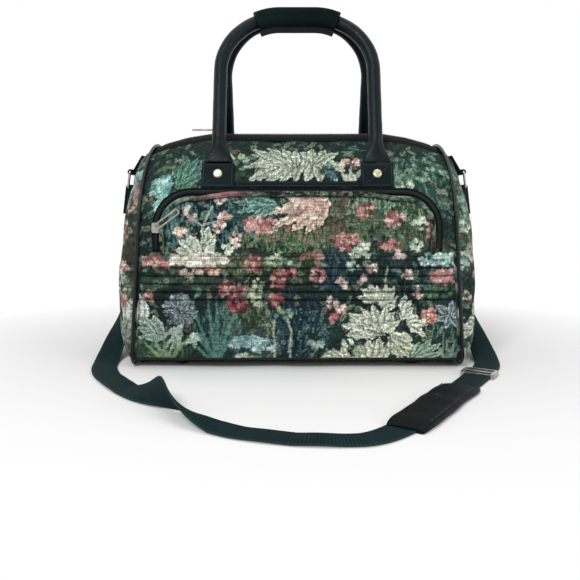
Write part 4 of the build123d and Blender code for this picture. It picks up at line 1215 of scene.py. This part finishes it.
# Strap
STRAP_W, STRAP_T = 0.030, 0.0018
RING_X, RING_Z, RING_DROP, RING_LEAN = 0.214, 0.238, 0.020, math.radians(8.0)
FLOOR = [(-240, -62), (-232, -112), (-208, -158), (-176, -204), (-140, -246), (-108, -287), (-70, -318),
         (-26, -337), (24, -346), (80, -340), (194, -160), (230, -100), (240, -62)]
FLOOR = [Vector((x / 1000, (y + 6) / 1000, 0.0016)) for x, y in FLOOR]
PAD_MID = (FLOOR[9] + FLOOR[10]) / 2


def ring_exit(side):
    """Lower bar of a strap ring and the way the webbing hangs from it."""
    down = Vector((side * math.sin(RING_LEAN), 0, -math.cos(RING_LEAN)))
    return Vector((side * RING_X, SET_BACK, RING_Z)) + down * RING_DROP, down


def nurbs_points(route, count):
    """Points that a NURBS of order 3 takes through its control points."""
    curve = bpy.data.curves.new("line", "CURVE")
    curve.dimensions = "3D"
    curve.resolution_u = 14
    spline = curve.splines.new("NURBS")
    spline.points.add(len(route) - 1)
    for p, q in zip(spline.points, route):
        p.co = (q[0], q[1], q[2], 1.0)
    spline.order_u = 3
    spline.use_endpoint_u = True
    obj = bpy.data.objects.new("line", curve)
    mesh = bpy.data.meshes.new_from_object(obj)
    line = np.array([v.co[:] for v in mesh.vertices])
    bpy.data.objects.remove(obj)
    bpy.data.curves.remove(curve)
    bpy.data.meshes.remove(mesh)
    run = run_along(line)
    return places_at(np.linspace(0, run[-1], count), run, line), run[-1]


def ribbon(name, line, faces_out, thick):
    """Flat webbing along a line; faces_out gives the way its face looks at each point."""
    profile = [(-0.5, -0.3), (-0.5, 0.3), (-0.47, 0.5), (-0.25, 0.5), (0.0, 0.5), (0.25, 0.5), (0.47, 0.5),
               (0.5, 0.3), (0.5, -0.3), (0.47, -0.5), (0.0, -0.5), (-0.47, -0.5)]
    verts, thread = [], []
    for p, t, n, s in zip(line, ways(line), faces_out, run_along(line)):
        across = np.cross(t, n)
        across /= np.linalg.norm(across)
        n = np.cross(across, t)
        for a, h in profile:
            verts.append(p + across * a * STRAP_W + n * h * thick)
            thread.append((s, a * STRAP_W))
    obj = mesh_object(name, verts, grid_faces(len(line), len(profile), close_cols=True), WEBBING, body=None)
    set_attribute(obj, "thread", np.array(thread))
    return obj


def strap_half(side, name, route, thick, turn_at=None):
    """Webbing from the ring down and along the floor, rolled over once where turn_at says."""
    line, total = nurbs_points(route, 340)
    run = np.linspace(0, total, len(line))
    roll = np.zeros(len(line))
    if turn_at is not None:
        roll = math.pi * np.clip((run - turn_at) / 0.17 + 0.5, 0, 1)
        roll = roll - np.sin(2 * roll) * 0.22
    line[:, 2] += np.abs(np.sin(roll)) * STRAP_W * 0.5
    kinks = 0.0012 * layered(run / 0.05, np.full_like(run, side), 2, 31) * np.clip((run - 0.25) / 0.05, 0, 1)
    line[:, 2] += np.abs(kinks) * np.clip((total - 0.10 - run) / 0.04, 0, 1)
    out = []
    for p, t, turn, s in zip(line, ways(line), roll, run):
        flat = np.clip(1 - (p[2] - 0.006) / 0.10, 0, 1) if s < 0.3 else 1.0
        n = np.array([side * (1 - flat), 0, flat])
        n = n - t * n.dot(t)
        n /= np.linalg.norm(n)
        out.append(n * math.cos(turn) + np.cross(t, n) * math.sin(turn))
    return ribbon(name, line, out, thick), line, total


def drop_route(side):
    """From the ring's lower bar down the end of the bag and out on to the floor, as in the CAD."""
    bar, down = ring_exit(side)
    stations = [bar + down * 0.0005, bar + down * 0.040, Vector((side * 0.226, 0.007, 0.150))]
    for (y, z), out in zip(((0, 118), (3, 62), (-22, 20)), (229.0, 234.0, 239.0)):
        stations.append(Vector((side * out / 1000, y / 1000 + SET_BACK, z / 1000)))
    return stations


left_route = drop_route(-1) + FLOOR[:10] + [PAD_MID]
right_route = drop_route(1) + FLOOR[::-1][:3] + [PAD_MID]
left_strap, left_line, left_length = strap_half(-1, "strap_left", left_route, STRAP_T, 0.47)
right_strap, right_line, right_length = strap_half(1, "strap_right", right_route, 2 * STRAP_T + 0.0002)
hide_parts("strap_floor_run", "strap_drop_left")
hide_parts("strap_floor_end", "strap_drop_right")
for strap, line, body in ((left_strap, left_line, "ring_left"), (right_strap, right_line, "ring_right")):
    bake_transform(strap)


def ring_loop(side, label):
    """Webbing folded round the ring's bar and laid on itself."""
    bar, down = ring_exit(side)
    aside = Vector((side * math.cos(RING_LEAN), 0, math.sin(RING_LEAN)))
    length, round_r, count = 0.034, 0.0030, 14
    steps = [length * k / (count - 1) for k in range(count)]
    points = [bar + down * (length - s) - aside * round_r for s in steps]
    for a in np.linspace(0, math.pi, 12)[1:-1]:
        points.append(bar - aside * round_r * math.cos(a) - down * round_r * math.sin(a))
    points += [bar + down * s + aside * round_r for s in steps]
    line = np.array([p[:] for p in points])
    out = np.cross([0, side, 0], ways(line))
    obj = ribbon("strap_loop_" + label + "_cloth", line, out / np.linalg.norm(out, axis=1)[:, None], STRAP_T)
    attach(obj, "ring_" + label)
    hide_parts("strap_loop_" + label)


ring_loop(-1, "left")
ring_loop(1, "right")


# Shoulder pad
PAD_LENGTH, PAD_WIDTH, PAD_THICK = 0.160, 0.042, 0.009


def pad_places():
    """Middle of the pad, its long way and its cross way on the floor."""
    low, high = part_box("shoulder_pad")
    mid = np.array([(low[0] + high[0]) / 2, (low[1] + high[1]) / 2, 0.0])
    along = np.array((FLOOR[10] - FLOOR[9]).normalized()[:])
    return mid, along, np.cross([0, 0, 1.0], along)


def build_pad():
    mid, along, across = pad_places()
    stations, sides = 90, 40
    verts, thread = [], []
    for i in range(stations):
        s = -1 + 2 * i / (stations - 1)
        end = 1 - abs(s) ** 14
        half = PAD_WIDTH / 2 * (0.90 + 0.10 * max(0.0, end)) * (0.985 + 0.015 * math.cos(s * 9))
        high = PAD_THICK * (0.42 + 0.58 * (1 - abs(s) ** 6)) * (1 + 0.05 * math.sin(s * 14 + 0.6))
        sway = 0.0006 * math.sin(s * 5)
        for k in range(sides):
            a = 2 * math.pi * k / sides
            c, q = math.cos(a), math.sin(a)
            w = math.copysign(abs(c) ** 0.42, c)
            h = math.copysign(abs(q) ** 0.62, q)
            seam = -0.0009 * math.exp(-((abs(w) - 0.84) / 0.035) ** 2) if q > 0 else 0.0
            crown = 1.0 if q < 0 else 1.0 - 0.16 * w * w
            z = high * 0.5 * (1 + h * crown) + seam * max(0.0, end)
            p = mid + along * (s * PAD_LENGTH / 2) + across * (w * half + sway)
            verts.append((p[0], p[1], max(z, 0.0003)))
            thread.append((s * PAD_LENGTH / 2, w * half))
    faces = grid_faces(stations, sides, close_cols=True).tolist() + tube_caps(stations, sides)
    obj = mesh_object("shoulder_pad_sleeve", verts, faces, VINYL)
    set_attribute(obj, "thread", np.array(thread))
    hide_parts("shoulder_pad")
    return mid, along, across


pad_mid, pad_along, pad_across = build_pad()
for label, edge in (("near", -1), ("far", 1)):
    row = [pad_mid + pad_along * s + pad_across * edge * PAD_WIDTH * 0.41 + np.array([0, 0, PAD_THICK * 0.86])
           for s in np.linspace(-0.066, 0.066, 60)]
    stitches("pad_stitches_" + label, row, [(0, 0, 1)] * 60, mat=THREAD)
scuffs = []
for s, lean in ((-0.030, 0.004), (0.012, 0.006)):
    row = [pad_mid + pad_along * (s + lean * t) + pad_across * 0.009 * t
           + np.array([0, 0, PAD_THICK * (0.985 - 0.03 * t * t)]) for t in np.linspace(-1, 1, 12)]
    scuffs.append(tube(row, 0.00028, 6))
one, two = scuffs
verts, faces = np.concatenate([one[0], two[0]]), np.concatenate([one[1], two[1] + len(one[0])])
mesh_object("pad_scuffs", verts, faces, SCUFF)


# Stitching on the leather
def surface_rows(name, rows, away):
    """Places and normals where rays against a node's surface land, row by row."""
    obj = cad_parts[name]
    mesh, world = obj.data, obj.matrix_world
    tree = BVHTree.FromPolygons([world @ v.co for v in mesh.vertices], [p.vertices[:] for p in mesh.polygons])
    found = []
    for row in rows:
        hits = [tree.ray_cast(Vector(p) + away * 0.3, -away) for p in row]
        hits = [(h[0], h[1] if h[1].dot(away) > 0 else -h[1]) for h in hits if h[0] is not None]
        found.append(([h[0][:] for h in hits], [h[1][:] for h in hits]))
    return found


def stitch_node(name, rows, away, label, gap=0.0011, radius=0.00024):
    for i, (points, normals) in enumerate(surface_rows(name, rows, away)):
        if len(points) > 3:
            stitches("%s_%s_%d" % (name, label, i), points, normals, 0.0024, gap, radius)


for face, away in (("front", Vector((0, -1, 0))), ("back", Vector((0, 1, 0)))):
    for side in ("left", "right"):
        name = "handle_tab_%s_%s" % (face, side)
        low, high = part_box(name)
        x0, x1, z0, z1 = low[0] + 0.0022, high[0] - 0.0022, low[2] + 0.0022, high[2] - 0.0022
        sides = [((x0, z0), (x0, z1)), ((x1, z0), (x1, z1)), ((x0, z0), (x1, z0)), ((x0, z1), (x1, z1)),
                 ((x0 + 0.003, z0 + 0.002), (x1 - 0.003, z1 - 0.002))]
        rows = [np.linspace((a, 0, b), (c, 0, d), 40) for (a, b), (c, d) in sides]
        stitch_node(name, rows, away, "stitch")
    name = "trim_strip_" + face
    low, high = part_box(name)
    rows = [np.linspace((low[0] + 0.002, 0, z), (high[0] - 0.002, 0, z), 90)
            for z in (low[2] + 0.0014, high[2] - 0.0014)]
    stitch_node(name, rows, away, "stitch", radius=0.00022)
    low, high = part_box("grip_wrap")
    rows = [np.linspace((x, 0, low[2] + 0.002), (x, 0, high[2] - 0.001), 50)
            for x in (low[0] + 0.003, high[0] - 0.003)]
    stitch_node("grip_wrap", rows, away, "stitch_" + face, gap=0.0012)


# Floor and light
FLOOR_WHITE, AMBIENT = 0.86, 0.50


def light_path(tree):
    """1 for rays that see the background itself or in glass or metal."""
    rays = node(tree, "ShaderNodeLightPath")
    seen = math_node(tree, "MAXIMUM", rays.outputs["Is Camera Ray"], rays.outputs["Is Glossy Ray"])
    return math_node(tree, "MAXIMUM", seen, rays.outputs["Is Transmission Ray"])


def build_stage():
    """White floor that keeps the shadow and turns plain white away from the bag."""
    mesh = bpy.data.meshes.new("floor")
    mesh.from_pydata([(-30, -30, 0), (30, -30, 0), (30, 30, 0), (-30, 30, 0)], [], [(0, 1, 2, 3)])
    obj = bpy.data.objects.new("floor", mesh)
    bpy.context.scene.collection.objects.link(obj)
    mat, tree, shader = material("floor_white")
    shader.inputs["Base Color"].default_value = (FLOOR_WHITE, FLOOR_WHITE, FLOOR_WHITE, 1)
    shader.inputs["Roughness"].default_value = 1.0
    shader.inputs["Specular IOR Level"].default_value = 0.0
    away = node(tree, "ShaderNodeVectorMath", operation="LENGTH")
    link(tree, scaled(tree, coords(tree), (1.0, 1.25, 1.0)), away.inputs[0])
    white = node(tree, "ShaderNodeEmission", in_Strength=1.0)
    seen = light_path(tree)
    far = ramp(tree, away.outputs["Value"], [(0.33, 0.0), (0.62, 1.0)])
    blend = node(tree, "ShaderNodeMixShader")
    link(tree, times(tree, far, seen), blend.inputs[0])
    link(tree, shader.outputs[0], blend.inputs[1])
    link(tree, white.outputs[0], blend.inputs[2])
    link(tree, blend.outputs[0], tree.nodes["Material Output"].inputs["Surface"])
    mesh.materials.append(mat)


def lamp(name, place, aim, size, power):
    data = bpy.data.lights.new(name, "AREA")
    data.shape = "RECTANGLE"
    data.size, data.size_y = size
    data.energy = power
    obj = bpy.data.objects.new(name, data)
    obj.location = place
    obj.rotation_euler = (Vector(aim) - Vector(place)).to_track_quat("-Z", "Y").to_euler()
    bpy.context.scene.collection.objects.link(obj)


build_stage()
world = bpy.data.worlds.new("world")
world.use_nodes = True
sky = world.node_tree
sky.nodes["Background"].inputs[0].default_value = (1, 1, 1, 1)
white_seen = math_node(sky, "MULTIPLY_ADD", light_path(sky), 1.0 - AMBIENT, AMBIENT)
link(sky, white_seen, sky.nodes["Background"].inputs[1])
bpy.context.scene.world = world
lamp("key", (-0.7, -1.6, 1.5), (0, 0, 0.15), (0.6, 0.6), 23)
lamp("fill", (1.5, -1.2, 0.9), (0, 0, 0.15), (1.0, 1.0), 8)
lamp("top", (0, 0.1, 2.2), (0, 0, 0.2), (1.6, 1.2), 10)
bpy.context.scene.view_settings.view_transform = "Standard"
